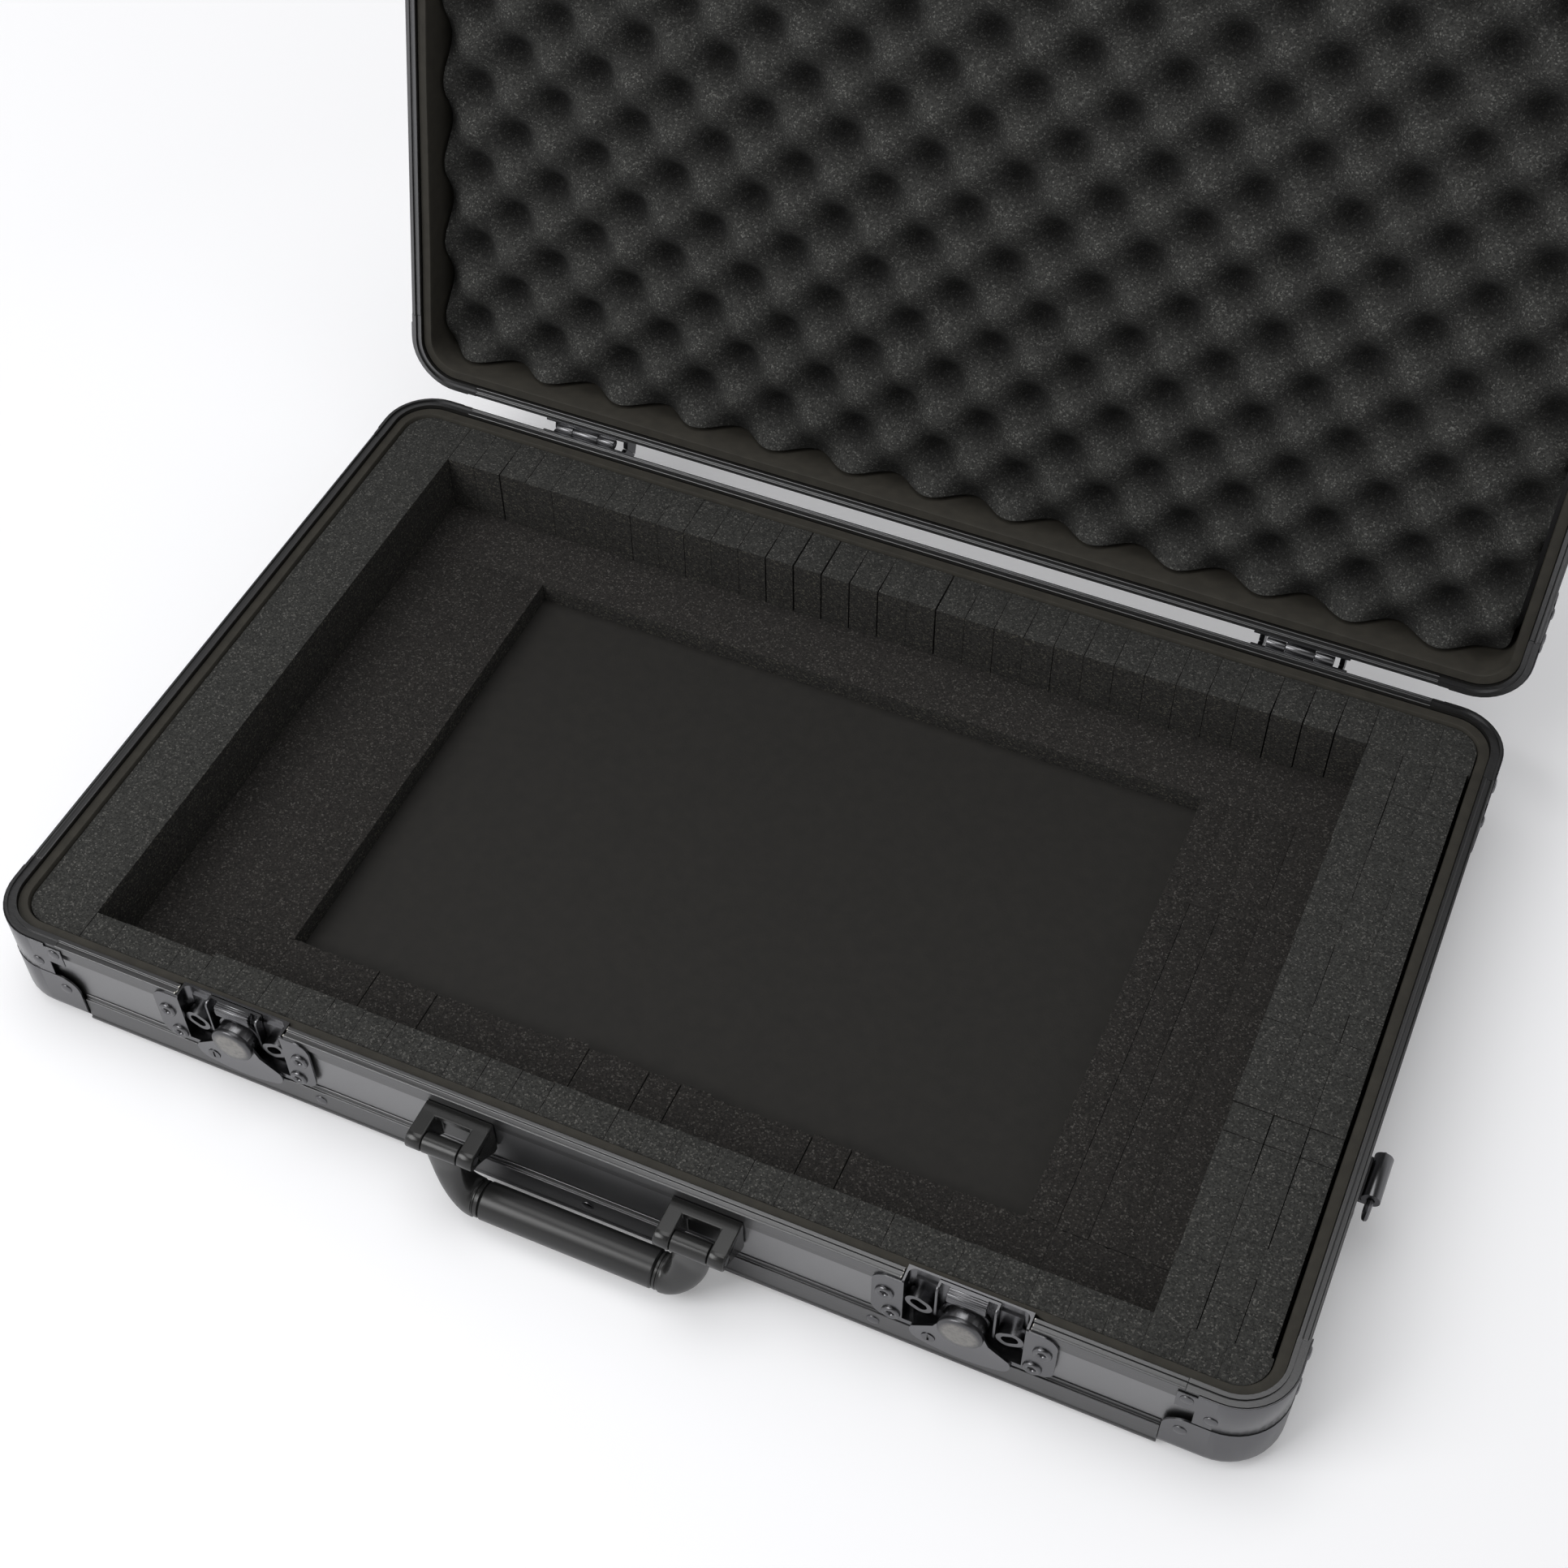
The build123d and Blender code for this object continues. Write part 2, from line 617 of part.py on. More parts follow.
def handle_grip():
    """Moulded sleeve on the core rod, with chamfered ends."""
    y, z = handle_axis()
    half = GRIP_LENGTH / 2 - CURVE_GAP
    with BuildSketch() as sketch:
        with BuildLine():
            inner = Line((-half, GRIP_CORE_R + CURVE_GAP), (half, GRIP_CORE_R + CURVE_GAP))
            right = Polyline([inner @ 1, (half, GRIP_R - 1.2), (half - 1.2, GRIP_R)])
            left = Polyline([(1.2 - half, GRIP_R), (-half, GRIP_R - 1.2), inner @ 0])
            Line(right @ 1, left @ 0)
        make_face()
    return Pos(0, y, z - GRIP_DROP) * revolve(sketch.sketch, Axis.X)


def strap_holder():
    """Left holder: a riveted plate with a rolled barrel that the ring turns in."""
    x = -WIDTH / 2 - STRAP_OUT
    wall = -WIDTH / 2 + PANEL_INSET
    half = STRAP_LENGTH / 2
    barrel = Pos(x, STRAP_Y, -STRAP_DROP) * Rot(90, 0, 0) * Cylinder(STRAP_BARREL_R, STRAP_LENGTH)
    web = block(x, wall, STRAP_Y - half, STRAP_Y + half, -STRAP_DROP - STRAP_BARREL_R, -STRAP_DROP - STRAP_BARREL_R + 2)
    plate = block(wall - 1.5, wall, STRAP_Y - 19, STRAP_Y + 19, -34.0, -FLANGE_BOTTOM - 0.5)
    plate = fillet(plate.edges().filter_by(Axis.X), 3.0)
    bore = Pos(x, STRAP_Y, -STRAP_DROP) * Rot(90, 0, 0) * Cylinder(RING_WIRE_R + RING_GAP, 99)
    return barrel + web + plate - bore


def strap_ring():
    """Left ring: bent wire with a straight bar through the barrel and a drop shaped loop."""
    x = -WIDTH / 2 - STRAP_OUT
    half = STRAP_LENGTH / 2 + RING_SIDE_GAP + RING_WIRE_R
    frame = Plane(origin=(x, STRAP_Y, -STRAP_DROP), x_dir=(0, 1, 0), z_dir=(1, 0, 0))
    knee = -RING_DROP * 0.45
    points = [(half, 0), (half, knee), (0, -RING_DROP - 6), (-half, knee), (-half, 0)]
    path = FilletPolyline(*points, radius=2 * RING_WIRE_R, close=True)
    path = frame.location * path
    start = Plane(origin=path @ 0, z_dir=path % 0)
    return sweep(start * RegularPolygon(RING_WIRE_R, 8), path=path)


def knuckle(x0, x1):
    """One hinge knuckle about the pin."""
    body = Pos((x0 + x1) / 2, PIN_Y, PIN_Z) * Rot(0, 90, 0) * Cylinder(KNUCKLE_R, x1 - x0)
    return body


def leaf_web(x0, x1):
    """Strap from the leaf to a knuckle, below the pin."""
    return block(x0, x1, DEPTH / 2 + CURVE_GAP, PIN_Y, PIN_Z - KNUCKLE_R, PIN_Z - KNUCKLE_R + LEAF_T)


def stop_cheek(x):
    """Cheek of the open stop, drawn for the base leaf: its far face lies on the half angle plane."""
    half = math.radians((180 - OPEN_ANGLE) / 2)
    wall = DEPTH / 2 + CURVE_GAP
    slope = 1 / math.tan(half)
    near = 5.0
    far = CHEEK_REACH
    shift = STOP_GAP / math.cos(half)
    points = [
        (wall, PIN_Z - near * slope),
        (PIN_Y + near - shift, PIN_Z - near * slope),
        (PIN_Y + far * 0.6 - shift, PIN_Z - far * 0.6 * slope),
        (wall, PIN_Z - far * 0.6 * slope - 3.0),
    ]
    face = Plane.YZ * make_face(Polyline(points, close=True).edges())
    return Pos(x - CHEEK_T / 2, 0, 0) * extrude(face, CHEEK_T)


def base_leaf():
    """Base leaf of the left hinge, drawn at x = 0: plate, two outer knuckles and the stop cheeks."""
    mid = KNUCKLE_MID / 2
    end = mid + KNUCKLE_END
    wall = DEPTH / 2 + CURVE_GAP
    body = block(-LEAF_CHEEK_X - 4, LEAF_CHEEK_X + 4, wall, wall + LEAF_T, PIN_Z - LEAF_DROP, PIN_Z - PART_GAP / 2 - 0.3)
    for x0, x1 in ((-end, -mid - KNUCKLE_GAP), (mid + KNUCKLE_GAP, end)):
        body = body + knuckle(x0, x1) + leaf_web(x0, x1)
    for x in (-LEAF_CHEEK_X, LEAF_CHEEK_X):
        body = body + stop_cheek(x)
    return body - pin_bore(PIN_R)


def lid_leaf():
    """Lid leaf of the left hinge, closed, drawn at x = 0: plate, middle knuckle and stop cheeks."""
    mid = KNUCKLE_MID / 2
    wall = DEPTH / 2 + CURVE_GAP
    low = PIN_Z - LEAF_DROP + 3
    body = block(-LEAF_CHEEK_X - 4, LEAF_CHEEK_X + 4, wall, wall + LEAF_T, low, PIN_Z - PART_GAP / 2 - 0.3)
    body = body + leaf_web(-mid, mid)
    for x in (-LEAF_CHEEK_X, LEAF_CHEEK_X):
        body = body + stop_cheek(x)
    body = mirror(body, about=Plane.XY.offset(PIN_Z)) + knuckle(-mid, mid)
    return body - pin_bore(PIN_R + PIN_CLEAR)


def pin_bore(radius):
    """Bore of the hinge pin."""
    return Pos(0, PIN_Y, PIN_Z) * Rot(0, 90, 0) * Cylinder(radius, 99)


def hinge_pin():
    """Hinge pin, flush with the outer knuckles."""
    return Pos(0, PIN_Y, PIN_Z) * Rot(0, 90, 0) * Cylinder(PIN_R, KNUCKLE_MID + 2 * KNUCKLE_END)


def upper_foam():
    """Pick foam frame round the well, with the rows of cubes that were pulled out."""
    body = plan(FOAM_INSET, -UPPER_FOAM_BOTTOM, -UPPER_FOAM_TOP)
    return body - block(*WELL_X, *WELL_Y, -UPPER_FOAM_BOTTOM - 1, 0)


def lower_foam():
    """Lower foam with the cut out for a flat computer."""
    low = -BASE_HEIGHT + RAIL_T + FLOOR_T + FLOOR_LINING_T
    body = plan(FOAM_INSET, low, -UPPER_FOAM_BOTTOM)
    cut = Box(RECESS_SIZE[0], RECESS_SIZE[1], 60)
    return body - Pos(RECESS_CENTRE[0], RECESS_CENTRE[1], -BASE_HEIGHT + 20) * cut


def egg_cell(x, y, sign):
    """Facets of one bump (sign 1) or one dimple (sign -1) of the egg crate foam."""
    middle = -(EGG_TOP + EGG_AMPLITUDE)
    corners = [(-1, -1), (1, -1), (1, 1), (-1, 1)]
    dx, dy = EGG_PITCH_X / 4, EGG_PITCH_Y / 4
    outer = [Vector(x + a * dx, y + b * dy, middle) for a, b in corners]
    apex = Vector(x, y, middle + sign * EGG_AMPLITUDE)
    return [[outer[i - 1], outer[i], apex] for i in range(4)]


def egg_lattice():
    """Facets of the bumps and dimples over the whole lid, and the rectangle that they fill."""
    step_x, step_y = EGG_PITCH_X / 2, EGG_PITCH_Y / 2
    x0, y0 = EGG_PEAK[0], DEPTH / 2 - EGG_PEAK[1]
    first_i = math.floor((-WIDTH / 2 + FOAM_INSET - x0) / step_x)
    last_i = math.ceil((WIDTH / 2 - FOAM_INSET - x0) / step_x)
    first_j = math.floor((-DEPTH / 2 + FOAM_INSET - y0) / step_y)
    last_j = math.ceil((DEPTH / 2 - FOAM_INSET - y0) / step_y)
    facets = []
    for i in range(first_i, last_i + 1):
        for j in range(first_j, last_j + 1):
            sign = 1 if (i + j) % 2 == 0 else -1
            facets += egg_cell(x0 + i * step_x, y0 + j * step_y, sign)
    xs = [x0 + (i - 0.5) * step_x for i in range(first_i, last_i + 2)]
    ys = [y0 + (j - 0.5) * step_y for j in range(first_j, last_j + 2)]
    return facets, xs, ys


def egg_crate():
    """Egg crate foam sheet, cut to the inside of the lid so that its edges show the wave."""
    facets, xs, ys = egg_lattice()
    middle = -(EGG_TOP + EGG_AMPLITUDE)
    low = -LID_HEIGHT + RAIL_T + FLOOR_T + CURVE_GAP
    rows = [
        [(x, ys[0]) for x in xs],
        [(xs[-1], y) for y in ys],
        [(x, ys[-1]) for x in reversed(xs)],
        [(xs[0], y) for y in reversed(ys)],
    ]
    for row in rows:
        top = [Vector(x, y, middle) for x, y in row]
        facets.append(top + [Vector(*row[-1], low), Vector(*row[0], low)])
    facets.append([Vector(*row[0], low) for row in rows])
    faces = [Face(Wire.make_polygon(points, close=True)) for points in facets]
    sheet = Solid(Shell(faces))
    return sheet & plan(FOAM_INSET + EGG_GAP, low - 1, 0)


def raised(solid):
    """From the half frame to the base's place."""
    return Pos(0, 0, RIM_Z) * solid


def opened(solid):
    """Turns a piece of the closed lid back to the open rest place."""
    return Pos(0, PIN_Y, PIN_Z) * Rot(-OPEN_ANGLE, 0, 0) * Pos(0, -PIN_Y, -PIN_Z) * solid


def lid_place(solid):
    """From the half frame to the open lid: turned over about X, then opened."""
    over = Pos(0, 0, RIM_Z + PART_GAP) * Rot(180, 0, 0) * mirror(solid, about=Plane.XZ)
    return opened(over)


def write(name, solid):
    """Writes one node."""
    export_step(solid, f"parts/{name}.step")


def group(solids):
    """Several solids of one node."""
    flat = [one for item in solids for one in item.solids()]
    return Compound(flat)


def shell_nodes(prefix, height, cap_rise, tongue, pan_depth, place):
    """The hard shell of one half: walls, rim, posts, armour and rails."""
    sides = ("front", "back", "left", "right")
    rim = rim_section(tongue)
    for side in sides:
        write(f"{prefix}_{side}_panel", place(side_panel(side, height, pan_depth)))
        piece = straight(rim, side, SEGMENT_END)
        if side == "front":
            piece = latch_notches(piece, RIM_T + 1, FLANGE_BOTTOM + 9)
        write(f"{prefix}_rim_{side}", place(piece))
    write(f"{prefix}_floor_panel" if prefix == "base" else "lid_top_panel", place(floor_panel(height)))
    write(f"{prefix}_corner_posts", place(four(corner_post(tongue, height))))
    write(f"{prefix}_corner_plates", place(four(corner_plate(height, cap_rise))))
    write(f"{prefix}_corner_caps", place(four(corner_cap(height, cap_rise))))
    write(f"{prefix}_edge_rails", place(group([rail(side, height) for side in sides])))
    write(f"{prefix}_wall_lining", place(wall_lining(height)))


def feet():
    """Four rubber feet under the floor panel."""
    x = -WIDTH / 2 + FOOT_IN
    y = FRONT + FOOT_IN
    low = -BASE_HEIGHT - FOOT_DROP
    return four(Pos(x, y, (low - BASE_HEIGHT + RAIL_T) / 2) * Cylinder(FOOT_R, FOOT_DROP + RAIL_T))


def base_nodes():
    """Everything fixed to the base."""
    shell_nodes("base", BASE_HEIGHT, BASE_CAP_RISE, False, PAN_DEPTH, raised)
    rivets = half_rivets(BASE_HEIGHT, BASE_CAP_RISE) + at_latches(latch_rivets(1))
    write("base_rivets", raised(group(rivets)))
    write("rubber_feet", raised(feet()))
    low = -BASE_HEIGHT + RAIL_T + FLOOR_T
    write("base_floor_lining", raised(plan(LINING_OUT, low, low + FLOOR_LINING_T)))
    write("upper_foam", raised(upper_foam()))
    write("lower_foam", raised(lower_foam()))
    write("left_strap_holder", raised(strap_holder()))
    write("right_strap_holder", raised(mirror(strap_holder(), about=Plane.YZ)))
    for name, x in (("left", -BRACKET_X), ("right", BRACKET_X)):
        write(f"{name}_handle_bracket", raised(Pos(x, 0, 0) * handle_bracket()))
    write("handle_pins", raised(group([Pos(x, 0, 0) * handle_pin() for x in (-BRACKET_X, BRACKET_X)])))
    write("hinge_base_leaves", group([Pos(x, 0, 0) * base_leaf() for x in (-HINGE_X, HINGE_X)]))
    write("hinge_pins", group([Pos(x, 0, 0) * hinge_pin() for x in (-HINGE_X, HINGE_X)]))


def latch_nodes():
    """Both base latches, each with its dish, guides, hook, lever and key barrel."""
    for name, x in (("left", -LATCH_X), ("right", LATCH_X)):
        spot = Pos(x, 0, RIM_Z)
        write(f"{name}_latch_dish", spot * latch_dish())
        write(f"{name}_latch_guides", spot * group([eyelet(-1), eyelet(1)]))
        write(f"{name}_latch_hook", spot * hook())
        write(f"{name}_latch_lever", spot * lever())
        write(f"{name}_latch_lock", spot * lock_barrel())


def handle_nodes():
    """The drop handle and the strap rings."""
    write("handle_frame", raised(handle_frame()))
    write("handle_grip", raised(handle_grip()))
    write("left_strap_ring", raised(strap_ring()))
    write("right_strap_ring", raised(mirror(strap_ring(), about=Plane.YZ)))


def lid_nodes():
    """Everything that swings with the lid."""
    shell_nodes("lid", LID_HEIGHT, LID_CAP_RISE, True, LID_PAN_DEPTH, lid_place)
    rivets = half_rivets(LID_HEIGHT, LID_CAP_RISE) + at_latches(lid_catch_rivets())
    write("lid_rivets", lid_place(group(rivets)))
    write("lid_catches", lid_place(group(at_latches([lid_catch()]))))
    write("egg_crate_foam", lid_place(egg_crate()))
    write("hinge_lid_leaves", opened(group([Pos(x, 0, 0) * lid_leaf() for x in (-HINGE_X, HINGE_X)])))


def main():
    """Builds every node."""
    os.makedirs("parts", exist_ok=True)
    base_nodes()
    latch_nodes()
    handle_nodes()
    lid_nodes()


main()
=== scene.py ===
# %% [markdown]
# # A foam lined flight case, laid open
#
# The hard parts of this case, such as its rim, its boards, its corner armour and its latches, come as
# exact solids. This lesson gives them their finishes, and builds what exact solids are poor at: open cell
# foam, soft linings, small turned rivets and the handle's curved arms. Everything is in metres, in the same
# place as the solids.

import math
import random

import bmesh
import bpy
import numpy as np
from mathutils import Matrix, Vector, noise


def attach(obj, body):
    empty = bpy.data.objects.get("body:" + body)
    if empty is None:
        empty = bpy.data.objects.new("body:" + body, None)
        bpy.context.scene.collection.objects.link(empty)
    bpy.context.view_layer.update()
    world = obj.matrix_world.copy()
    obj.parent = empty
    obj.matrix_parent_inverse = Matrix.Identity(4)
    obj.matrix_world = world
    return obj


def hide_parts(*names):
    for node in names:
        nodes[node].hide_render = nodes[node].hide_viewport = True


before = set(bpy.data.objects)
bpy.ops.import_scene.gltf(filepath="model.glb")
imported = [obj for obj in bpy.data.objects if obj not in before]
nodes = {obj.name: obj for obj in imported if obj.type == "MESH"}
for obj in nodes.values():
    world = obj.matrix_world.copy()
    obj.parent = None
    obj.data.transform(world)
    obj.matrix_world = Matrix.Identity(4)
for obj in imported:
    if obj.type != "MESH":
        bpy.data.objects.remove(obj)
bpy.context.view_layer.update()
MM = 0.001

# %% [markdown]
# ## Sizes that the soft pieces share with the solids
#
# A foam sheet is cut to the case, so its outline follows the case's outline. Each size is set once here, in
# millimetres, as the solids have it. A rounded rectangle inset from the outer faces gives every outline that
# we need, because all the walls run parallel.

# %% The case's own sizes
WIDTH = 622.0
DEPTH = 400.0
CORNER_R = 26.0
BASE_RIM_Z = 58.0
LID_RIM_Z = 58.6
HINGE_Y = 204.0
HINGE_Z = 58.3
OPEN_ANGLE = math.radians(-102.5)
CORNER_STEPS = 10
LATCHES = (-177.0, 177.0)

OPENED = (
    Matrix.Translation((0, HINGE_Y * MM, HINGE_Z * MM))
    @ Matrix.Rotation(OPEN_ANGLE, 4, "X")
    @ Matrix.Translation((0, -HINGE_Y * MM, -HINGE_Z * MM))
)


def base_point(x, y, z):
    """A point of the base, from millimetres."""
    return Vector((x, y, z)) * MM


def lid_point(x, y, depth):
    """A point of the open lid: x and y as if the lid were closed, depth behind its rim."""
    return OPENED @ (Vector((x, y, LID_RIM_Z + depth)) * MM)


def outline(inset):
    """Rounded rectangle of the case's plan, anticlockwise from its front right corner."""
    radius = CORNER_R - inset
    half_x, half_y = WIDTH / 2 - inset, DEPTH / 2 - inset
    points = []
    corners = ((half_x, -half_y, -90), (half_x, half_y, 0), (-half_x, half_y, 90), (-half_x, -half_y, 180))
    for x, y, start in corners:
        centre_x, centre_y = x - math.copysign(radius, x), y - math.copysign(radius, y)
        for i in range(CORNER_STEPS + 1):
            angle = math.radians(start + 90 * i / CORNER_STEPS)
            points.append((centre_x + radius * math.cos(angle), centre_y + radius * math.sin(angle)))
    return points


print("points in an outline", len(outline(0)))

# %% [markdown]
# ## From point lists to pieces
#
# Each soft piece is worked out as rows of points. One helper joins them into a mesh, gives it its finish,
# shades it smooth except over sharp edges, and fastens it to the body that carries it.

# %% A helper that makes a piece
def make_piece(name, points, faces, material, body, sharp=40.0):
    """Makes a mesh object from points in metres and rides it on a body."""
    mesh = bpy.data.meshes.new(name)
    mesh.from_pydata([tuple(p) for p in points], [], faces)
    mesh.validate()
    mesh.shade_smooth()
    mesh.set_sharp_from_angle(angle=math.radians(sharp))
    mesh.materials.append(material)
    piece = bpy.data.objects.new(name, mesh)
    bpy.context.scene.collection.objects.link(piece)
    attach(piece, body)
    return piece


# %% [markdown]
# ## Colours and shader nodes
#
# Metal and foam colours are known as sRGB hex values, and a shader works in linear light, so one function
# turns the one into the other. A second small function adds a shader node, sets it and links it. Every finish
# here is two shades and a relief that follow a texture, so a third one dresses a shader in them.

# %% Colour and node helpers
def linear(code):
    """An sRGB hex colour such as #3a3a38 as linear RGBA."""
    values = [int(code[i:i + 2], 16) / 255 for i in (1, 3, 5)]
    return [v / 12.92 if v <= 0.04045 else ((v + 0.055) / 1.055) ** 2.4 for v in values] + [1.0]


def add(tree, kind, settings, links=(), to=()):
    """Adds a ShaderNode. Settings go to its properties, its sockets or the ends of its ramp, links are
    (socket, node, output) and to is (output, node, socket)."""
    node = tree.nodes.new("ShaderNode" + kind)
    for key, value in settings.items():
        if key == "shades":
            for end, shade in zip(node.color_ramp.elements, value):
                end.color = linear(shade)
        elif isinstance(key, str) and hasattr(node, key):
            setattr(node, key, value)
        else:
            node.inputs[key].default_value = value
    for socket, source, output in links:
        tree.links.new(source.outputs[output], node.inputs[socket])
    for output, target, socket in to:
        tree.links.new(node.outputs[output], target.inputs[socket])
    return node


def new_material(name, **settings):
    """A material whose one shader has these constant values, and a link to the place on the object."""
    material = bpy.data.materials.new(name)
    material.use_nodes = True
    tree = material.node_tree
    shader = tree.nodes["Principled BSDF"]
    for key, value in settings.items():
        shader.inputs[key.replace("_", " ")].default_value = value
    return material, tree, shader, [("Vector", add(tree, "TexCoord", {}), "Object")]


def dress(tree, shader, shades, by, relief, strength, bump_mm):
    """Colours a shader between shades by one output, and raises its surface by another."""
    bump = {"Strength": strength, "Distance": bump_mm * MM}
    add(tree, "Bump", bump, [("Height", *relief)], [(0, shader, "Normal")])
    return add(tree, "ValToRGB", {"shades": shades}, [(0, *by)], [(0, shader, "Base Color")])


print("mid grey in linear light", round(linear("#808080")[0], 3))

# %% [markdown]
# ## Open cell polyurethane foam
#
# The foam is blown polyurethane with its skin cut away, so the eye meets thousands of burst cells. They
# make it dull and dark, with fine bright points where a cell wall happens to face the light. A cell is about
# 0.5 mm wide, which is finer than the picture can show, so the pattern is drawn at 0.7 mm. Cells are Voronoi
# shapes by nature, and the same texture drives the shades, the glints and the bump. The hollows get painted
# shade: a number on each point says how deep it lies, and the colour falls towards a near black with it.

# %% Foam material
CELL_MM = 0.7
CELL_BUMP_MM = 0.3
GLINT_FROM = 0.86
# The near black that the painted shade in the egg crate's hollows reaches.
HOLLOW_PAINTED_SHADE = "#050505"


def foam_material(name, dark, light, glint):
    """Open cell foam between two shades, with glints, and painted shade where the mesh says that it is
    hollow.
    """
    material, tree, shader, here = new_material(name, Roughness=0.95, IOR=1.5, Specular_IOR_Level=0.2)
    cells = add(tree, "TexVoronoi", {"Scale": 1 / (CELL_MM * MM)}, here)
    shade = add(tree, "SeparateColor", {}, [(0, cells, "Color")])
    tone = dress(tree, shader, (dark, glint), (shade, 0), (cells, "Distance"), 0.5, CELL_BUMP_MM)
    tone.color_ramp.elements.new(GLINT_FROM).color = linear(light)
    # Painted shade: the colour falls towards that near black by each point's hollow number.
    hollow = add(tree, "Attribute", {"attribute_name": "hollow"})
    painted_shade_mix = {"data_type": "RGBA", 7: linear(HOLLOW_PAINTED_SHADE)}
    add(tree, "Mix", painted_shade_mix, [(0, hollow, "Fac"), (6, tone, 0)], [(2, shader, "Base Color")])
    return material


pick_foam_material = foam_material("polyurethane_foam_sawn", "#262625", "#3c3c3a", "#595855")
# A darker copy of the same foam for the columns' sides: painted shade on faces that do not face up.
side_foam_painted_shade_material = foam_material("polyurethane_foam_sides_painted_shade", "#201f1e", "#363533", "#525048")
# A darker copy of the same foam for the lower sheet: painted shade at the bottom of the well.
bed_foam_painted_shade_material = foam_material("polyurethane_foam_bed_painted_shade", "#1f1e1d", "#302e2c", "#4e4c49")
egg_foam_material = foam_material("polyurethane_foam_convoluted", "#2b2b2a", "#434341", "#666663")
print("foam cells per metre", round(1 / (CELL_MM * MM)))

# %% [markdown]
# ## Closed cell lining
#
# The walls are lined with a strip of closed cell foam, calendered and slit from a sheet. Its cells are shut,
# so it is smoother and a little brown against the blue black of the metal. A soft, slightly uneven sheen
# with a very fine grain is all that the eye gets.

# %% Lining material
MOTTLE_MM = 6.25
LINING_GRAIN_MM = 0.9
LINING_BUMP_MM = 0.3


def lining_material(name, dark, light):
    """Closed cell foam between two shades."""
    material, tree, shader, here = new_material(name, Roughness=0.72, IOR=1.48, Specular_IOR_Level=0.4)
    cloud = add(tree, "TexNoise", {"Scale": 1 / (MOTTLE_MM * MM), "Detail": 6.0}, here)
    grain = add(tree, "TexNoise", {"Scale": 1 / (LINING_GRAIN_MM * MM)}, here)
    dress(tree, shader, (dark, light), (cloud, 0), (grain, 0), 0.25, LINING_BUMP_MM)
    return material


strip_material = lining_material("eva_foam_strip", "#26241f", "#3a3730")
# The floor sheet is the same lining in darker shades: painted shade at the bottom of the recess.
floor_sheet_painted_shade_material = lining_material("eva_foam_floor_painted_shade", "#1c1b19", "#272522")
print("lining patches", MOTTLE_MM, "mm")

# %% [markdown]
# ## Black anodised aluminium
#
# The rim and the edge rails are extruded, brushed along their length by the die, and anodised black. The
# metal keeps its shine under the dyed oxide, so it mirrors the white room softly and stays black where
# nothing bright stands opposite. Fine die lines run along each length, so their direction is a setting.
# The front rim was sawn for the latches after the dye, so its cut edges show bare metal where the saw chipped
# the oxide.

# %% Anodised material
DIE_LINE_MM = 0.35
DIE_LINES_ALONG = 6.0  # changes in each metre of a line
DIE_BUMP_MM = 0.1
DIE_POLISH = (0.24, 0.42)


def anodised_material(name, axis):
    """Anodised extrusion with die lines along one axis, and what a change to it needs."""
    material, tree, shader, here = new_material(name, Metallic=1.0)
    stretch = [1 / (DIE_LINE_MM * MM)] * 3
    stretch[axis] = DIE_LINES_ALONG
    lines = add(tree, "Mapping", {"Scale": stretch}, here)
    streak = add(tree, "TexNoise", {"Scale": 1.0, "Detail": 2.0}, [("Vector", lines, 0)])
    gloss = {"To Min": DIE_POLISH[0], "To Max": DIE_POLISH[1]}
    add(tree, "MapRange", gloss, [(0, streak, 0)], [(0, shader, "Roughness")])
    tone = dress(tree, shader, ("#5e5e5e", "#757576"), (streak, 0), (streak, 0), 0.04, DIE_BUMP_MM)
    return material, tree, shader, here, tone


anodised_x = anodised_material("anodised_aluminium_along_x", 0)[0]
anodised_y = anodised_material("anodised_aluminium_along_y", 1)[0]
print("die lines per millimetre", round(1 / DIE_LINE_MM, 1))

# %% Bare metal on the saw cuts
CHIP_MM = 0.5
CHIPS_PER_METRE = 900.0
CUT_X_MM = (148.7, 205.3)


def chip_saw_cuts(tree, shader, here, tone):
    """Bare metal in broken dashes along the saw cuts of the front rim."""
    axes = add(tree, "SeparateXYZ", {}, here)
    across = add(tree, "Math", {"operation": "ABSOLUTE"}, [(0, axes, 0)])
    near = []
    for cut in CUT_X_MM:
        strip = {"operation": "COMPARE", 1: cut * MM, 2: CHIP_MM * MM}
        near.append(add(tree, "Math", strip, [(0, across, 0)]))
    either = add(tree, "Math", {"operation": "MAXIMUM"}, [(0, near[0], 0), (1, near[1], 0)])
    broken = add(tree, "TexNoise", {"Scale": CHIPS_PER_METRE, "Detail": 1.0}, here)
    chips = add(tree, "Math", {"operation": "GREATER_THAN", 1: 0.5}, [(0, broken, 0)])
    shown = add(tree, "Math", {"operation": "MULTIPLY"}, [(0, either, 0), (1, chips, 0)])
    metal = {"data_type": "RGBA", 7: linear("#d0ccc4")}
    add(tree, "Mix", metal, [(0, shown, 0), (6, tone, 0)], [(2, shader, "Base Color")])


sawn_rim, *sawn_nodes = anodised_material("anodised_aluminium_sawn", 0)
chip_saw_cuts(*sawn_nodes)
print("saw cuts at", CUT_X_MM, "mm either side")

# %% [markdown]
# ## Board, plated steel and the other finishes
#
# The walls are board under a thin satin metal sheet. The armour and the latches are pressed steel with black
# nickel plate, bright where the table mirrors in it and black elsewhere. The handle is moulded plastic with a
# spark eroded grain. All are smooth skins, so one function makes them from two shades, a grain and a bump.

# %% Plated and moulded materials
CLOUDS_PER_METRE = 22.0  # the gloss is uneven in patches about 45 mm wide


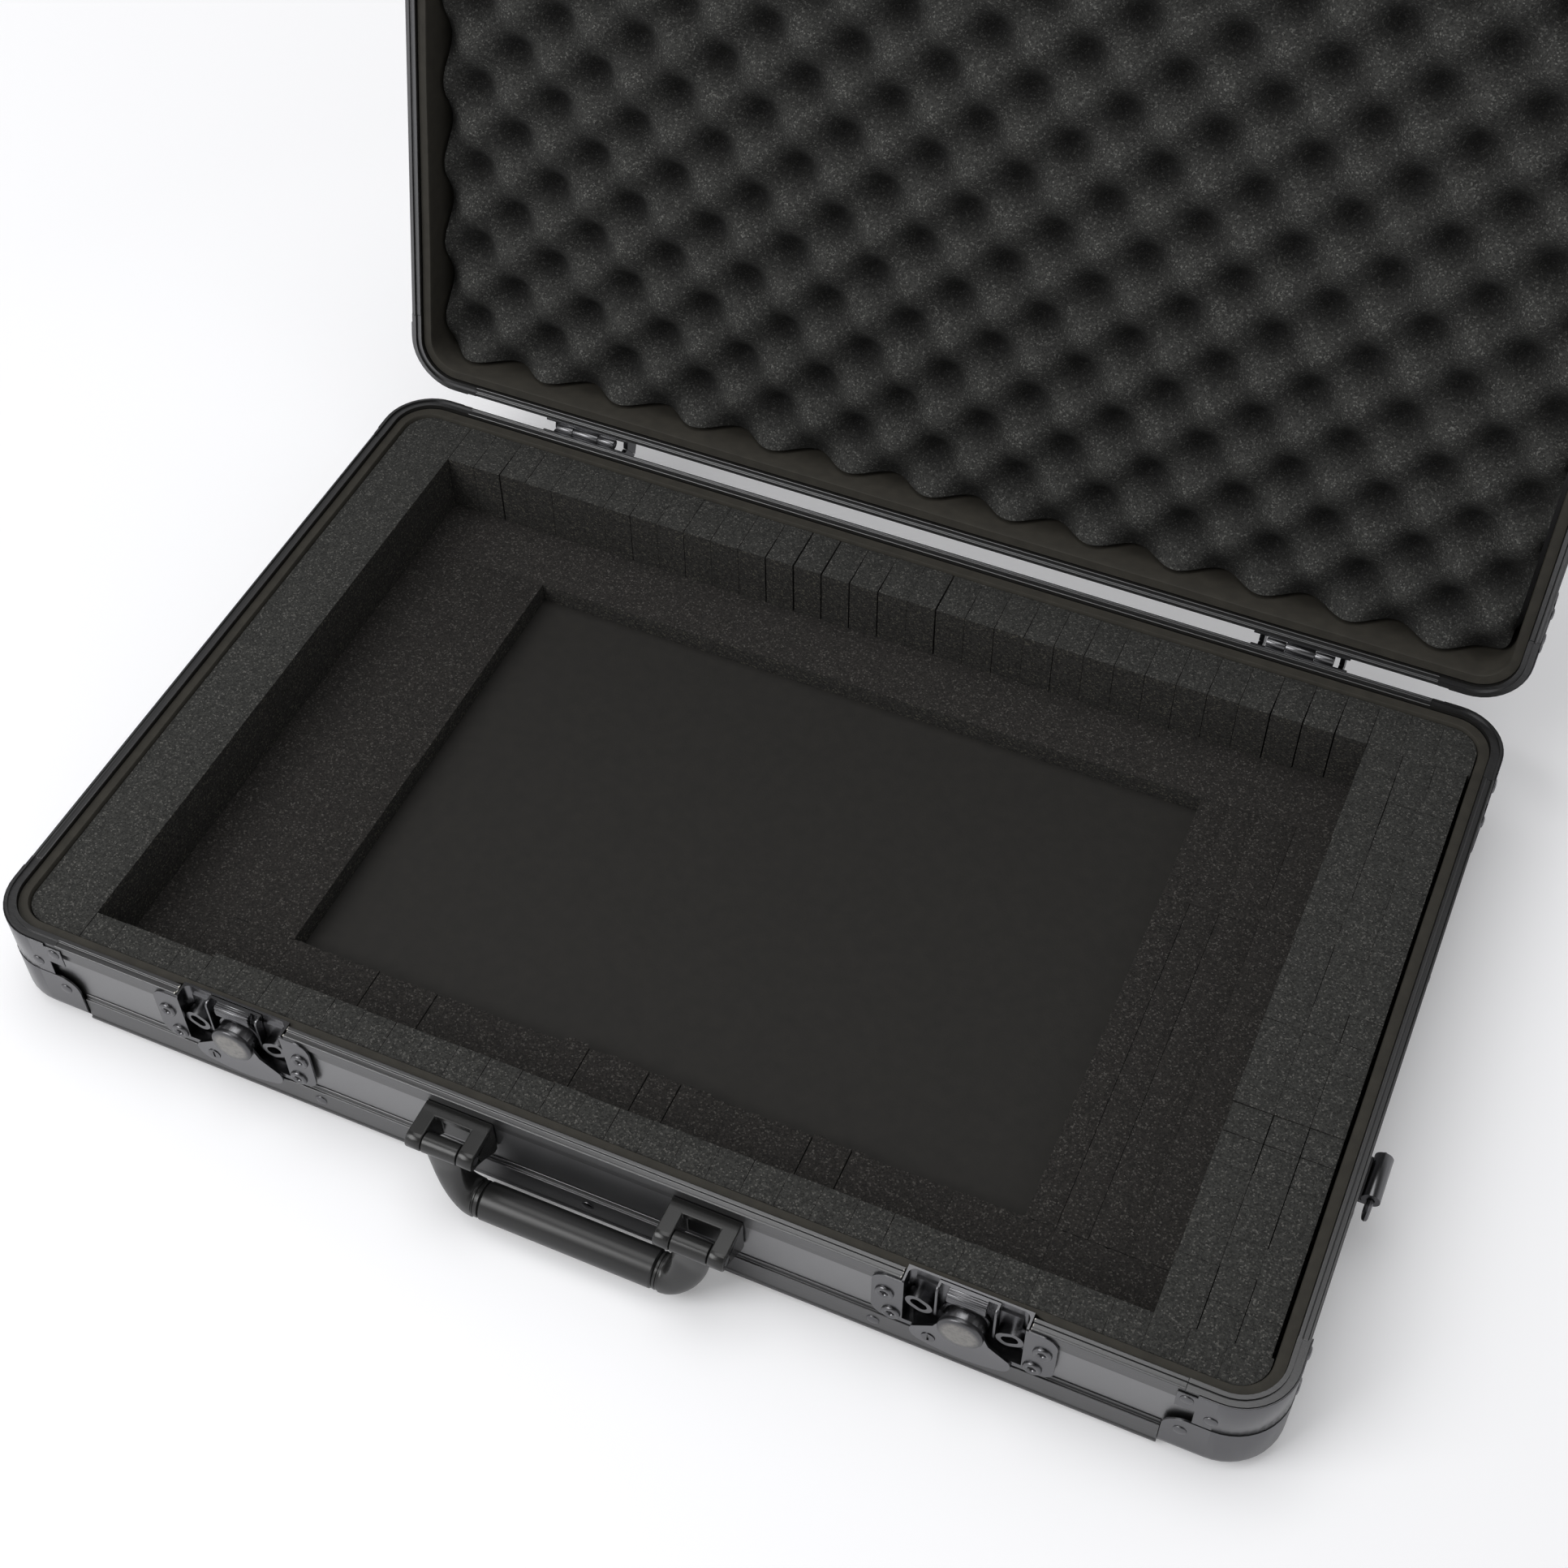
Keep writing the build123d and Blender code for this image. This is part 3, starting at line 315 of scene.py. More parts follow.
def skin_material(name, dark, light, grain_mm, bump_mm, rough, **settings):
    """A smooth skin with a fine grain and slightly uneven gloss."""
    material, tree, shader, here = new_material(name, **settings)
    grain = add(tree, "TexNoise", {"Scale": 1 / (grain_mm * MM), "Detail": 3.0}, here)
    cloud = add(tree, "TexNoise", {"Scale": CLOUDS_PER_METRE, "Detail": 3.0}, here)
    gloss = {"To Min": rough[0], "To Max": rough[1]}
    add(tree, "MapRange", gloss, [(0, cloud, 0)], [(0, shader, "Roughness")])
    dress(tree, shader, (dark, light), (cloud, 0), (grain, 0), 0.3, bump_mm)
    return material


# Anodised sheet glued on board: satin metal with an even grain, grey where the white table mirrors in it.
clad_board = skin_material(
    "anodised_sheet_on_board", "#868687", "#909091", 0.8, 0.02, (0.3, 0.38), Metallic=1.0
)
# Black nickel plate on pressed steel: mirrors the table as grey and the dark ceiling as black.
black_nickel = skin_material(
    "black_nickel_on_steel", "#646466", "#707072", 1.6, 0.03, (0.2, 0.3), Metallic=1.0
)
# The same plate on the die cast lever and boss: a little lighter, smoother.
cast_nickel = skin_material(
    "black_nickel_on_casting", "#727274", "#7e7e80", 1.2, 0.03, (0.2, 0.28), Metallic=1.0
)
# Moulded polyamide: soft gloss with a spark eroded grain.
polyamide = skin_material("moulded_polyamide", "#1c1c1c", "#262625", 0.6, 0.03, (0.22, 0.32), IOR=1.53)
# Moulded vinyl of the grip: smoother, with a long soft highlight.
vinyl = skin_material("moulded_vinyl", "#1a1a1a", "#222222", 0.9, 0.02, (0.26, 0.34), IOR=1.53)
# Vulcanised rubber feet: dull and dark.
rubber = skin_material("vulcanised_rubber", "#17171a", "#222222", 0.5, 0.05, (0.7, 0.85), IOR=1.52)
# Zinc plated steel of the pins: bright, slightly clouded.
zinc = skin_material("zinc_plated_steel", "#8d8d90", "#a6a6a8", 0.7, 0.02, (0.25, 0.4), Metallic=1.0)
print("materials", len(bpy.data.materials))

# %% [markdown]
# ## Finishes for the solid parts
#
# The names of the parts say what they are, so a short list of words from those names is enough, with the
# first match taken. All that it leaves is plated steel.

# %% Give the solid parts their finishes
FINISHES = (
    (("rim_left", "rim_right"), anodised_y),
    (("base_rim_front",), sawn_rim),
    (("rim_front", "rim_back", "edge_rails", "corner_posts"), anodised_x),
    (("panel",), clad_board),
    (("lever",), cast_nickel),
    (("pins",), zinc),
    (("feet",), rubber),
    (("bracket", "handle_frame"), polyamide),
    (("handle_grip",), vinyl),
)


def finish_of(name):
    """The finish of a solid part, from its name."""
    for words, material in FINISHES:
        if any(word in name for word in words):
            return material
    return black_nickel


for name, node in nodes.items():
    node.data.materials.clear()
    node.data.materials.append(finish_of(name))
print("plated steel parts", sum(finish_of(name) == black_nickel for name in nodes), "of", len(nodes))

# %% [markdown]
# ## Soft edges on hard parts
#
# No pressed or moulded edge is perfectly sharp. A radius of a few tenths of a millimetre catches the light
# as a thin line. The solids have sharp edges, so a weld, which joins the corners that a file format splits,
# and a narrow bevel round them off without moving a face.

# %% Bevel the edges of the hard parts
EDGE_RADII_MM = {
    "rim": 0.35, "edge_rails": 0.3, "corner_plates": 0.2, "corner_caps": 0.3, "latch_dish": 0.3,
    "latch_hook": 0.2, "latch_lever": 0.25, "lid_catches": 0.3, "bracket": 0.7, "hinge": 0.15,
    "strap_holder": 0.3,
}
WELD_MM = 0.01
SHARP_FROM = 35


def soften(node, radius):
    """Rounds a solid part's edges with modifiers only."""
    weld = node.modifiers.new("weld", "WELD")
    weld.merge_threshold = WELD_MM * MM
    bevel = node.modifiers.new("edge", "BEVEL")
    bevel.width = radius * MM
    bevel.segments = 2
    bevel.limit_method = "ANGLE"
    bevel.angle_limit = math.radians(SHARP_FROM)
    bevel.harden_normals = True


for name, node in nodes.items():
    for part, radius in EDGE_RADII_MM.items():
        if part in name:
            soften(node, radius)
            break
print("parts with soft edges", sum(len(node.modifiers) > 0 for node in nodes.values()))

# %% [markdown]
# ## The egg crate foam of the lid
#
# Convoluted foam is made by squeezing a sheet between two rollers with staggered fingers and slitting it in
# the middle, which leaves bumps and hollows that follow a product of two cosines. So a fine grid with that
# height is the real form. The fingers press the hollows deeper than the bumps rise, except near the cut edge,
# where the foam relaxes. A slow random swell keeps the bumps from being machine perfect.

# %% The wave of the foam
EGG_INSET = 13.4
EGG_PITCH_X = 45.4
EGG_PITCH_Y = 45.2
EGG_PEAK_X = -235.3
EGG_PEAK_Y = DEPTH / 2 - 12.7
EGG_MIDDLE = 19.0
EGG_AMPLITUDE = 7.0
EGG_SWELL = 0.5
SWELL_PER_MM = 0.025
HOLLOW_EXTRA = 0.6
EDGE_RELAX = 26.0


def egg_wave(x, y):
    """The wave at a place: 1 on a bump and -1 in a hollow."""
    along_x = math.cos(math.tau * (x - EGG_PEAK_X) / EGG_PITCH_X)
    along_y = math.cos(math.tau * (y - EGG_PEAK_Y) / EGG_PITCH_Y)
    return along_x * along_y


def egg_depth(x, y):
    """How far the foam's surface lies behind the rim."""
    wave = egg_wave(x, y)
    if wave < 0:
        to_edge = min(WIDTH / 2 - EGG_INSET - abs(x), DEPTH / 2 - EGG_INSET - abs(y))
        wave *= 1 + HOLLOW_EXTRA * min(1, max(0, to_edge / EDGE_RELAX)) * -wave
    swell = noise.noise(Vector((x, y, 0)) * SWELL_PER_MM)
    return EGG_MIDDLE - EGG_AMPLITUDE * wave + EGG_SWELL * swell


print("depth at a peak, mm", round(egg_depth(EGG_PEAK_X, EGG_PEAK_Y), 1))

# %% Helpers for a sheet that is a grid
def rounded(x, y, half_x, half_y, radius):
    """Moves a point of a rectangle so that the rectangle's corners become round."""
    over_x, over_y = abs(x) - (half_x - radius), abs(y) - (half_y - radius)
    if over_x <= 0 or over_y <= 0:
        return x, y
    scale = max(over_x, over_y) / math.hypot(over_x, over_y)
    new_x = half_x - radius + over_x * scale
    new_y = half_y - radius + over_y * scale
    return math.copysign(new_x, x), math.copysign(new_y, y)


def rounded_grid(half_x, half_y, radius, columns, rows):
    """Places of a flat grid with round corners, row by row."""
    places = []
    for j in range(rows + 1):
        for i in range(columns + 1):
            x, y = -half_x + 2 * half_x * i / columns, -half_y + 2 * half_y * j / rows
            places.append(rounded(x, y, half_x, half_y, radius))
    return places


def grid_faces(columns, rows):
    """Faces between the points of such a grid, turned downwards."""
    corners = (0, columns + 1, columns + 2, 1)
    return [tuple(j * (columns + 1) + i + k for k in corners) for j in range(rows) for i in range(columns)]


def grid_edge(columns, rows):
    """Numbers of the points round such a grid, anticlockwise."""
    row = columns + 1
    edge = list(range(columns)) + [columns + j * row for j in range(rows)]
    return edge + [rows * row + i for i in range(columns, 0, -1)] + [j * row for j in range(rows, 0, -1)]


print("edge of a small grid", grid_edge(3, 2))

# %% Convoluted sheet
EGG_STEP = 2.4
EGG_BACK = 41.4
# How much painted shade the deepest hollows and the sheet's edge and back get, and how fast it falls off the
# bumps.
PAINTED_SHADE_MOST = 0.8
PAINTED_SHADE_CURVE = 1.3


def egg_crate():
    """Grid of the wavy face, a wall round its edge and a flat back."""
    half_x, half_y = WIDTH / 2 - EGG_INSET, DEPTH / 2 - EGG_INSET
    columns, rows = round(2 * half_x / EGG_STEP), round(2 * half_y / EGG_STEP)
    places = rounded_grid(half_x, half_y, CORNER_R - EGG_INSET, columns, rows)
    points = [(x, y, egg_depth(x, y)) for x, y in places]
    # Each point's hollow number is its painted shade: none on a bump, most in a hollow and on the edge.
    shade = [PAINTED_SHADE_MOST * max(0, 0.5 - 0.5 * egg_wave(x, y)) ** PAINTED_SHADE_CURVE for x, y in places]
    faces, edge, start = grid_faces(columns, rows), grid_edge(columns, rows), len(points)
    points += [(points[k][0], points[k][1], EGG_BACK) for k in edge]
    shade += [PAINTED_SHADE_MOST] * len(edge)
    for k in range(len(edge)):
        after = (k + 1) % len(edge)
        faces.append((edge[k], edge[after], start + after, start + k))
    faces.append(tuple(range(start, start + len(edge))))
    return [lid_point(*p) for p in points], faces, shade


egg_points, egg_faces, egg_painted_shade = egg_crate()
egg = make_piece("egg_crate_sheet", egg_points, egg_faces, egg_foam_material, "lid", sharp=50.0)
# The painted shade goes on the mesh as its hollow number.
egg.data.attributes.new("hollow", "FLOAT", "POINT").data.foreach_set("value", egg_painted_shade)
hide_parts("egg_crate_foam")
print("egg crate faces", len(egg.data.polygons))

# %% [markdown]
# ## Pick foam
#
# The two sheets in the base are sold slit into small square columns, so that the owner can pull some out.
# Most slits are closed and show as faint lines. Where a neighbour was pulled hard, the slit gapes at the well
# and closes towards the wall. So each band is built from its columns, and a slit has a width at each end.

# %% Helpers for flat outlines
SAME_POINT = 0.02
NARROWEST_TURN = 0.4


def clip(polygon, outer):
    """The part of a convex polygon inside another one that runs anticlockwise."""
    for k in range(len(outer)):
        (ax, ay), (bx, by) = outer[k], outer[(k + 1) % len(outer)]
        kept = []
        for m in range(len(polygon)):
            p, q = polygon[m], polygon[(m + 1) % len(polygon)]
            side_p = (bx - ax) * (p[1] - ay) - (by - ay) * (p[0] - ax)
            side_q = (bx - ax) * (q[1] - ay) - (by - ay) * (q[0] - ax)
            if side_p >= 0:
                kept.append(p)
            if side_p * side_q < 0:
                t = side_p / (side_p - side_q)
                kept.append((p[0] + (q[0] - p[0]) * t, p[1] + (q[1] - p[1]) * t))
        polygon = kept
        if len(polygon) < 3:
            return []
    return polygon


def tidy_ring(ring):
    """The outline anticlockwise, without points that fall on each other."""
    kept = [p for k, p in enumerate(ring) if math.dist(p, ring[k - 1]) > SAME_POINT]
    area = sum(a[0] * b[1] - a[1] * b[0] for a, b in zip(kept, kept[1:] + kept[:1]))
    return kept if area > 0 else kept[::-1]


def drawn_in(ring, amount):
    """Moves each side of an anticlockwise outline inwards."""
    moved = []
    for k in range(len(ring)):
        before = (Vector(ring[k]) - Vector(ring[k - 1])).normalized()
        after = (Vector(ring[(k + 1) % len(ring)]) - Vector(ring[k])).normalized()
        inward = Vector((-before.y - after.y, before.x + after.x))
        share = amount / max(NARROWEST_TURN, 1 + before.dot(after))
        moved.append((ring[k][0] + inward.x * share, ring[k][1] + inward.y * share))
    return moved


print("drawn in square", drawn_in([(0, 0), (4, 0), (4, 4), (0, 4)], 1))

# %% [markdown]
# A column is a prism whose top edge is rounded, because soft foam gives way at its edges. It is a stack of
# rings of points, as the turned pieces further down are, so the faces between rings have their own helper.

# %% One column
TOP_ROUND = 0.2
ROUND_SHARE = 0.3


def ring_faces(start, size, layers):
    """Faces between layers of points. Each layer is a ring of the same size."""
    faces = []
    for layer in range(layers - 1):
        for k in range(size):
            a, b = start + layer * size + k, start + layer * size + (k + 1) % size
            faces.append((a, b, b + size, a + size))
    return faces


def cap(start, size):
    """One face over a ring of points."""
    return tuple(range(start, start + size))


def column(ring, low, high, tilt, points, faces):
    """Adds one column. Tilt is its top's rise for each millimetre along X and Y, and at its middle."""
    ring = tidy_ring(ring)
    size, start = len(ring), len(points)
    middle = (sum(p[0] for p in ring) / size, sum(p[1] for p in ring) / size)
    part = ROUND_SHARE * TOP_ROUND
    layers = ((0.0, low, 0), (0.0, high - TOP_ROUND, 1), (part, high - part, 1), (TOP_ROUND, high, 1))
    for inwards, z, top in layers:
        for x, y in drawn_in(ring, inwards):
            rise = top * (tilt[0] * (x - middle[0]) + tilt[1] * (y - middle[1]) + tilt[2])
            points.append(base_point(x, y, z + rise))
    faces += ring_faces(start, size, len(layers))
    faces += [cap(start + (len(layers) - 1) * size, size), cap(start, size)[::-1]]


print("faces in a tube", len(ring_faces(0, 4, 3)))

# %% [markdown]
# A band is a row of columns between the well and the wall. `slits` gives the two half widths of each open
# slit, by its number along the band, and `face` how far a column's face stands off the line of the well.

# %% Bands and sheets of columns
CLOSED = (0.02, 0.02)
FACE_STEP = 2.0
JUT = 0.25
LEAN = 0.1
SINK = 0.12


def band(lines, well, wall, slits, face, turned, draw):
    """Outlines of the columns of one band. Turned bands run along Y."""
    rings = []
    for k in range(len(lines) - 1):
        near, far = slits.get(k, CLOSED), slits.get(k + 1, CLOSED)
        jut = draw.uniform(-JUT, JUT)
        start, end = lines[k] + near[0], lines[k + 1] - far[0]
        steps = max(1, round((end - start) / FACE_STEP))
        along = [start + (end - start) * i / steps for i in range(steps + 1)]
        ring = [(x, well + jut + face(x, k)) for x in along]
        ring += [(lines[k + 1] - far[1], wall), (lines[k] + near[1], wall)]
        rings.append([(y, x) for x, y in ring] if turned else ring)
    return rings


def straight_face(x, k):
    """A face that was sawn."""
    return 0.0


def sheet_of_columns(rings, inset, low, high, draw):
    """Clips columns to the case's outline and builds them, each with its own small tilt."""
    points, faces = [], []
    outer = outline(inset)
    for ring in rings:
        ring = clip(ring, outer)
        if ring:
            span = max(max(p[axis] for p in ring) - min(p[axis] for p in ring) for axis in (0, 1))
            lean = [draw.uniform(-LEAN, LEAN) / span for axis in (0, 1)]
            column(ring, low, high, (*lean, draw.uniform(-SINK, 0.0)), points, faces)
    return points, faces


print("a column's top sinks up to", SINK, "mm")

# %% [markdown]
# The upper frame has its widest slits along the back, where whole columns were pulled and pushed back. The
# right band is three columns wide and stands off the lining by about a millimetre. The columns' pitch is a
# little uneven, as the slitting machine's band wanders.

# %% Lines and slits of the upper frame
FOAM_INSET = 11.4
WELL_X = (-265.8, 248.5)
WELL_Y = (-171.9, 161.7)
COLUMNS_X = 32
COLUMNS_Y = 21
WANDER = 2.5
SIDE_GAP = 1.2
REACH_X = WIDTH / 2 - FOAM_INSET
REACH_Y = DEPTH / 2 - FOAM_INSET
RIGHT_BANDS = ((WELL_X[1], 266.7), (266.9, 282.9), (283.1, REACH_X - SIDE_GAP))


def line_x(k):
    """Slit number k across the case's width, counted from the well's left side."""
    share = k / COLUMNS_X
    return WELL_X[0] + (WELL_X[1] - WELL_X[0]) * share - WANDER * math.sin(math.pi * min(1, max(0, share)))


def line_y(k):
    """Slit number k from the well's front."""
    return WELL_Y[0] + (WELL_Y[1] - WELL_Y[0]) * k / COLUMNS_Y


long_lines = [line_x(k) for k in range(COLUMNS_X + len(RIGHT_BANDS))] + [REACH_X]
short_lines = [line_y(k) for k in range(COLUMNS_Y + 1)]
WIDE, GAPING, FAINT = (0.45, 0.3), (0.35, 0.06), (0.14, 0.04)
back_slits = {k: FAINT for k in range(1, COLUMNS_X + 1) if k not in (4, 5, 17)}
back_slits.update({k: GAPING for k in (2, 12, 15, 16, 29, 30, 31)})
back_slits.update({k: WIDE for k in (13, 14, 18)})
front_slits = {k: FAINT for k in (4, 6, 8, 10, 13, 14, 15, 17, 21, 25)}
side_slits = {7: (0.3, 0.12), 6: (0.25, 0.1), 10: FAINT}
print("columns are", round(short_lines[1] - short_lines[0], 1), "mm deep")

# %% Upper frame
LOWER_HIGH = 19.6
UPPER_HIGH = 54.0
STEP_COLUMN = 4
STEP_BACK, STEP_OUT = -1.6, 0.8


def front_face(x, k):
    """The front band's face: the first columns stand back a little."""
    return STEP_BACK if k < STEP_COLUMN else STEP_OUT


draw = random.Random(7)
upper_rings = band(long_lines, WELL_Y[1], REACH_Y, back_slits, straight_face, False, draw)
upper_rings += band(long_lines, WELL_Y[0], -REACH_Y, front_slits, front_face, False, draw)
upper_rings += band([-REACH_Y, REACH_Y], WELL_X[0], -REACH_X, {}, straight_face, True, draw)
for well, wall in RIGHT_BANDS:
    upper_rings += band(short_lines, well, wall, side_slits, straight_face, True, draw)
upper_mesh = sheet_of_columns(upper_rings, FOAM_INSET, LOWER_HIGH, UPPER_HIGH, draw)
upper = make_piece("pick_foam_frame", *upper_mesh, pick_foam_material, "base")
print("upper frame", len(upper_rings), "columns")

# %% [markdown]
# The lower sheet holds the recess, as deep as the sheet is thick. Its front edge was torn by hand, so it is
# ragged, and a few columns bulge over the recess.

# %% Torn edge of the recess
BULGES = (
    (-47.7, -33.8, 3.6), (-33.8, -2.7, 2.4), (-2.7, 13.5, 1.4),
    (13.5, 30.0, 1.6), (79.4, 86.0, 1.8), (98.4, 106.0, 1.6),
)
BULGE_POWER = 0.25
RAGS = ((0.9, 0.35, 4), (0.6, 0.9, 8))  # each a height in mm, waves in a mm and a place in the noise


def torn_face(x, k):
    """The recess's front edge: ragged, with bulges."""
    ragged = sum(height * noise.noise(Vector((x * rate, 0, z))) for height, rate, z in RAGS)
    for start, end, height in BULGES:
        if start < x < end:
            ragged += height * math.sin(math.pi * (x - start) / (end - start)) ** BULGE_POWER
    return ragged


print("highest bulge, mm", round(max(torn_face(x, 0) for x in range(-191, 180)), 1))

# %% Lower sheet
LOWER_LOW = 8.0
RECESS_X = (-191.7, 180.3)
RECESS_Y = (-131.5, 125.5)
RECESS_BANDS = ((RECESS_X[1], 194.8), (194.95, 209.5), (209.65, 228.8), (228.95, REACH_X))
TORN = (0.3, 0.1)
TOP_FACING = 0.6

draw = random.Random(11)
front_lines = [
    -REACH_X, -234.0, -191.7, -144.7, -113.1, -47.7, -33.8, -2.7,
    13.5, 79.4, 98.4, 148.0, 194.9, 250.0, REACH_X,
]
right_lines = [RECESS_Y[0], 60.0, 73.0, RECESS_Y[1]]
torn_slits = {k: TORN for k in (3, 4, 6, 7, 8, 9, 10)}
lower_rings = band(front_lines, RECESS_Y[0], -REACH_Y, torn_slits, torn_face, False, draw)
lower_rings += band([-REACH_X, REACH_X], RECESS_Y[1], REACH_Y, {}, straight_face, False, draw)
lower_rings += band([RECESS_Y[0], RECESS_Y[1]], RECESS_X[0], -REACH_X, {}, straight_face, True, draw)
for well, wall in RECESS_BANDS:
    lower_rings += band(right_lines, well, wall, {1: FAINT, 2: FAINT}, straight_face, True, draw)
lower_mesh = sheet_of_columns(lower_rings, FOAM_INSET, LOWER_LOW, LOWER_HIGH, draw)
# The lower sheet's tops take the darker copy, which is painted shade deep in the well.
lower = make_piece("pick_foam_bed", *lower_mesh, bed_foam_painted_shade_material, "base")
for piece, node in ((upper, "upper_foam"), (lower, "lower_foam")):
    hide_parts(node)
    # Faces that do not face up get the darker copy: painted shade on the columns' sides.
    piece.data.materials.append(side_foam_painted_shade_material)
    for face in piece.data.polygons:
        face.material_index = int(face.normal.z < TOP_FACING)
print("lower sheet", len(lower_rings), "columns")

# %% [markdown]
# ## The lining strips
#
# A strip of closed cell foam is glued round the inside of the walls. It was pressed in by hand, so it bulges
# and its free edge waves a little. A section swept round the outline, with a slow random wave on its inner
# face and top, is what that looks like. Behind each latch pan it is thinner.

# %% Path and section of a strip
LINING_OUT = 5.6
LINING_IN = 11.1
PAN_HALF = 28.3
PAN_DEPTH = 20
PAN_INSET = 8.1
STRIP_STEP = 8.0
STRIP_ROUND = 0.3
STRIP_WAVE = 0.3
STRIP_BULGE = 0.2


def dense_outline():
    """The case's outline with points every few millimetres, each with its outward direction."""
    outer = outline(0.0)
    outward = [(Vector(a) - Vector(b)).normalized() for a, b in zip(outer, outline(1.0))]
    places = []
    for k in range(len(outer)):
        after = (k + 1) % len(outer)
        a, b = Vector(outer[k]), Vector(outer[after])
        steps = max(1, round((b - a).length / STRIP_STEP))
        for m in range(steps):
            t = m / steps
            places.append((a.lerp(b, t), outward[k].lerp(outward[after], t).normalized()))
    return places


def strip_section(x, y, low, high, wave):
    """Section of the strip as (inset, height) pairs, from its outer lower corner up and round."""
    near_pan = y < 0 and any(abs(x - latch) < PAN_HALF for latch in LATCHES)
    out = PAN_INSET if near_pan and abs(y) > DEPTH / 2 - PAN_DEPTH else LINING_OUT
    face = LINING_IN - STRIP_BULGE * wave
    top = high + STRIP_WAVE * wave - STRIP_ROUND
    return [
        (out, low),
        (out, top - STRIP_ROUND),
        (out + STRIP_ROUND, top),
        (face - 0.8, top),
        (face - 0.3, top - 0.6),
        (face - 0.2, (low + top) / 2),
        (LINING_IN, low),
    ]


print("places along a strip", len(dense_outline()))

# %% Sweep the strips round the walls
BASE_STRIP_Z = (8.0, 56.0)
LID_STRIP_Z = (-40.0, -2.0)
WAVES_PER_MM = 0.02


def wall_strip(low, high, place, seed):
    """Closed ring of the strip."""
    points, faces = [], []
    path = dense_outline()
    for position, out in path:
        wave = noise.noise(Vector((position.x * WAVES_PER_MM, position.y * WAVES_PER_MM, seed)))
        for inset, z in strip_section(position.x, position.y, low, high, wave):
            spot = position - out * inset
            points.append(place(spot.x, spot.y, z))
    size = len(points) // len(path)
    for k in range(len(path)):
        after = (k + 1) % len(path)
        for m in range(size):
            up = (m + 1) % size
            faces.append((k * size + m, after * size + m, after * size + up, k * size + up))
    return points, faces


def lid_side(x, y, height):
    """A point of the lid's strip, whose height counts from the rim and is negative behind it."""
    return lid_point(x, y, -height)


base_mesh = wall_strip(*BASE_STRIP_Z, base_point, 3.0)
base_strip = make_piece("base_lining_strip", *base_mesh, strip_material, "base")
lid_mesh = wall_strip(*LID_STRIP_Z, lid_side, 9.0)
lid_strip = make_piece("lid_lining_strip", *lid_mesh, strip_material, "lid")
for piece, node in ((base_strip, "base_wall_lining"), (lid_strip, "lid_wall_lining")):
    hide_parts(node)
print("strip faces", len(base_strip.data.polygons))

# %% [markdown]
# The floor of the base has a thin sheet of the same lining, seen at the bottom of the recess, where its
# darker shades are painted shade. It is a slab with a rounded outline, slightly uneven because it lies on
# glue.

# %% Floor sheet
FLOOR_Z = (6.5, 8.0)
FLOOR_GRID = (60, 40)
FLOOR_DIP = 0.12
DIPS_PER_MM = 0.03


def floor_sheet(low, high):
    """Grid over the floor with a slow unevenness, closed below."""
    half_x, half_y = WIDTH / 2 - LINING_OUT, DEPTH / 2 - LINING_OUT
    places = rounded_grid(half_x, half_y, CORNER_R - LINING_OUT, *FLOOR_GRID)
    points = [base_point(x, y, low) for x, y in places]
    for x, y in places:
        dip = FLOOR_DIP * (1 + noise.noise(Vector((x, y, 5)) * DIPS_PER_MM))
        points.append(base_point(x, y, high - dip))
    faces, edge, layer = [], grid_edge(*FLOOR_GRID), len(places)
    for face in grid_faces(*FLOOR_GRID):
        faces += [face, tuple(layer + face[k] for k in (0, 3, 2, 1))]
    for k in range(len(edge)):
        a, b = edge[k], edge[(k + 1) % len(edge)]
        faces.append((a, b, layer + b, layer + a))
    return points, faces


floor_lining = make_piece("floor_lining_sheet", *floor_sheet(*FLOOR_Z), floor_sheet_painted_shade_material, "base")
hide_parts("base_floor_lining")
print("floor sheet faces", len(floor_lining.data.polygons))

# %% [markdown]
# ## Rivets
#
# Small domed rivets fix the armour and the rails, and larger tubular rivets fix the latches, with a rolled
# rim round a sunk middle. Both are round, so a profile spun round an axis is their true form. The solids mark
# each rivet's place with a plain head: the lesson finds it, reads its middle and its direction, and puts the
# finished head there.

# %% Find the marked places
SAME_CORNER = 0.000002


def islands(node):
    """Points of each separate solid in a part."""
    work = bmesh.new()
    work.from_mesh(node.data)
    bmesh.ops.remove_doubles(work, verts=work.verts, dist=SAME_CORNER)
    seen, found = set(), []
    for first in work.verts:
        if first in seen:
            continue
        stack, group = [first], []
        seen.add(first)
        while stack:
            vertex = stack.pop()
            group.append(vertex.co.copy())
            for edge in vertex.link_edges:
                other = edge.other_vert(vertex)
                if other not in seen:
                    seen.add(other)
                    stack.append(other)
        found.append(np.array([tuple(p) for p in group]))
    work.free()
    return found


def rivet_place(points, inside):
    """Middle of a head's foot, outward direction, radius and height."""
    centre = (points.min(0) + points.max(0)) / 2
    spread = np.linalg.svd(points - points.mean(0))[2][2]
    along = (points - centre) @ spread
    if (centre - inside) @ spread < 0:
        spread, along = -spread, -along
    foot = centre + spread * along.min()
    across = (points - centre) - np.outer(along, spread)
    return Vector(foot), Vector(spread), np.linalg.norm(across, axis=1).max(), along.max() - along.min()


print("places on the base", len(islands(nodes["base_rivets"])))

# %% Two profiles and a way to spin them
SPIN = 28
DOME_STEPS = 7
DOME_FOOT = 0.12
DOME_POWER = 0.8
TUBE_SHARES = (
    (1, 0), (1, 0.3), (0.95, 0.7), (0.85, 0.95), (0.72, 1),
    (0.5, 0.9), (0.4, 0.6), (0.36, 0.1), (0.2, 0), (0, 0),
)


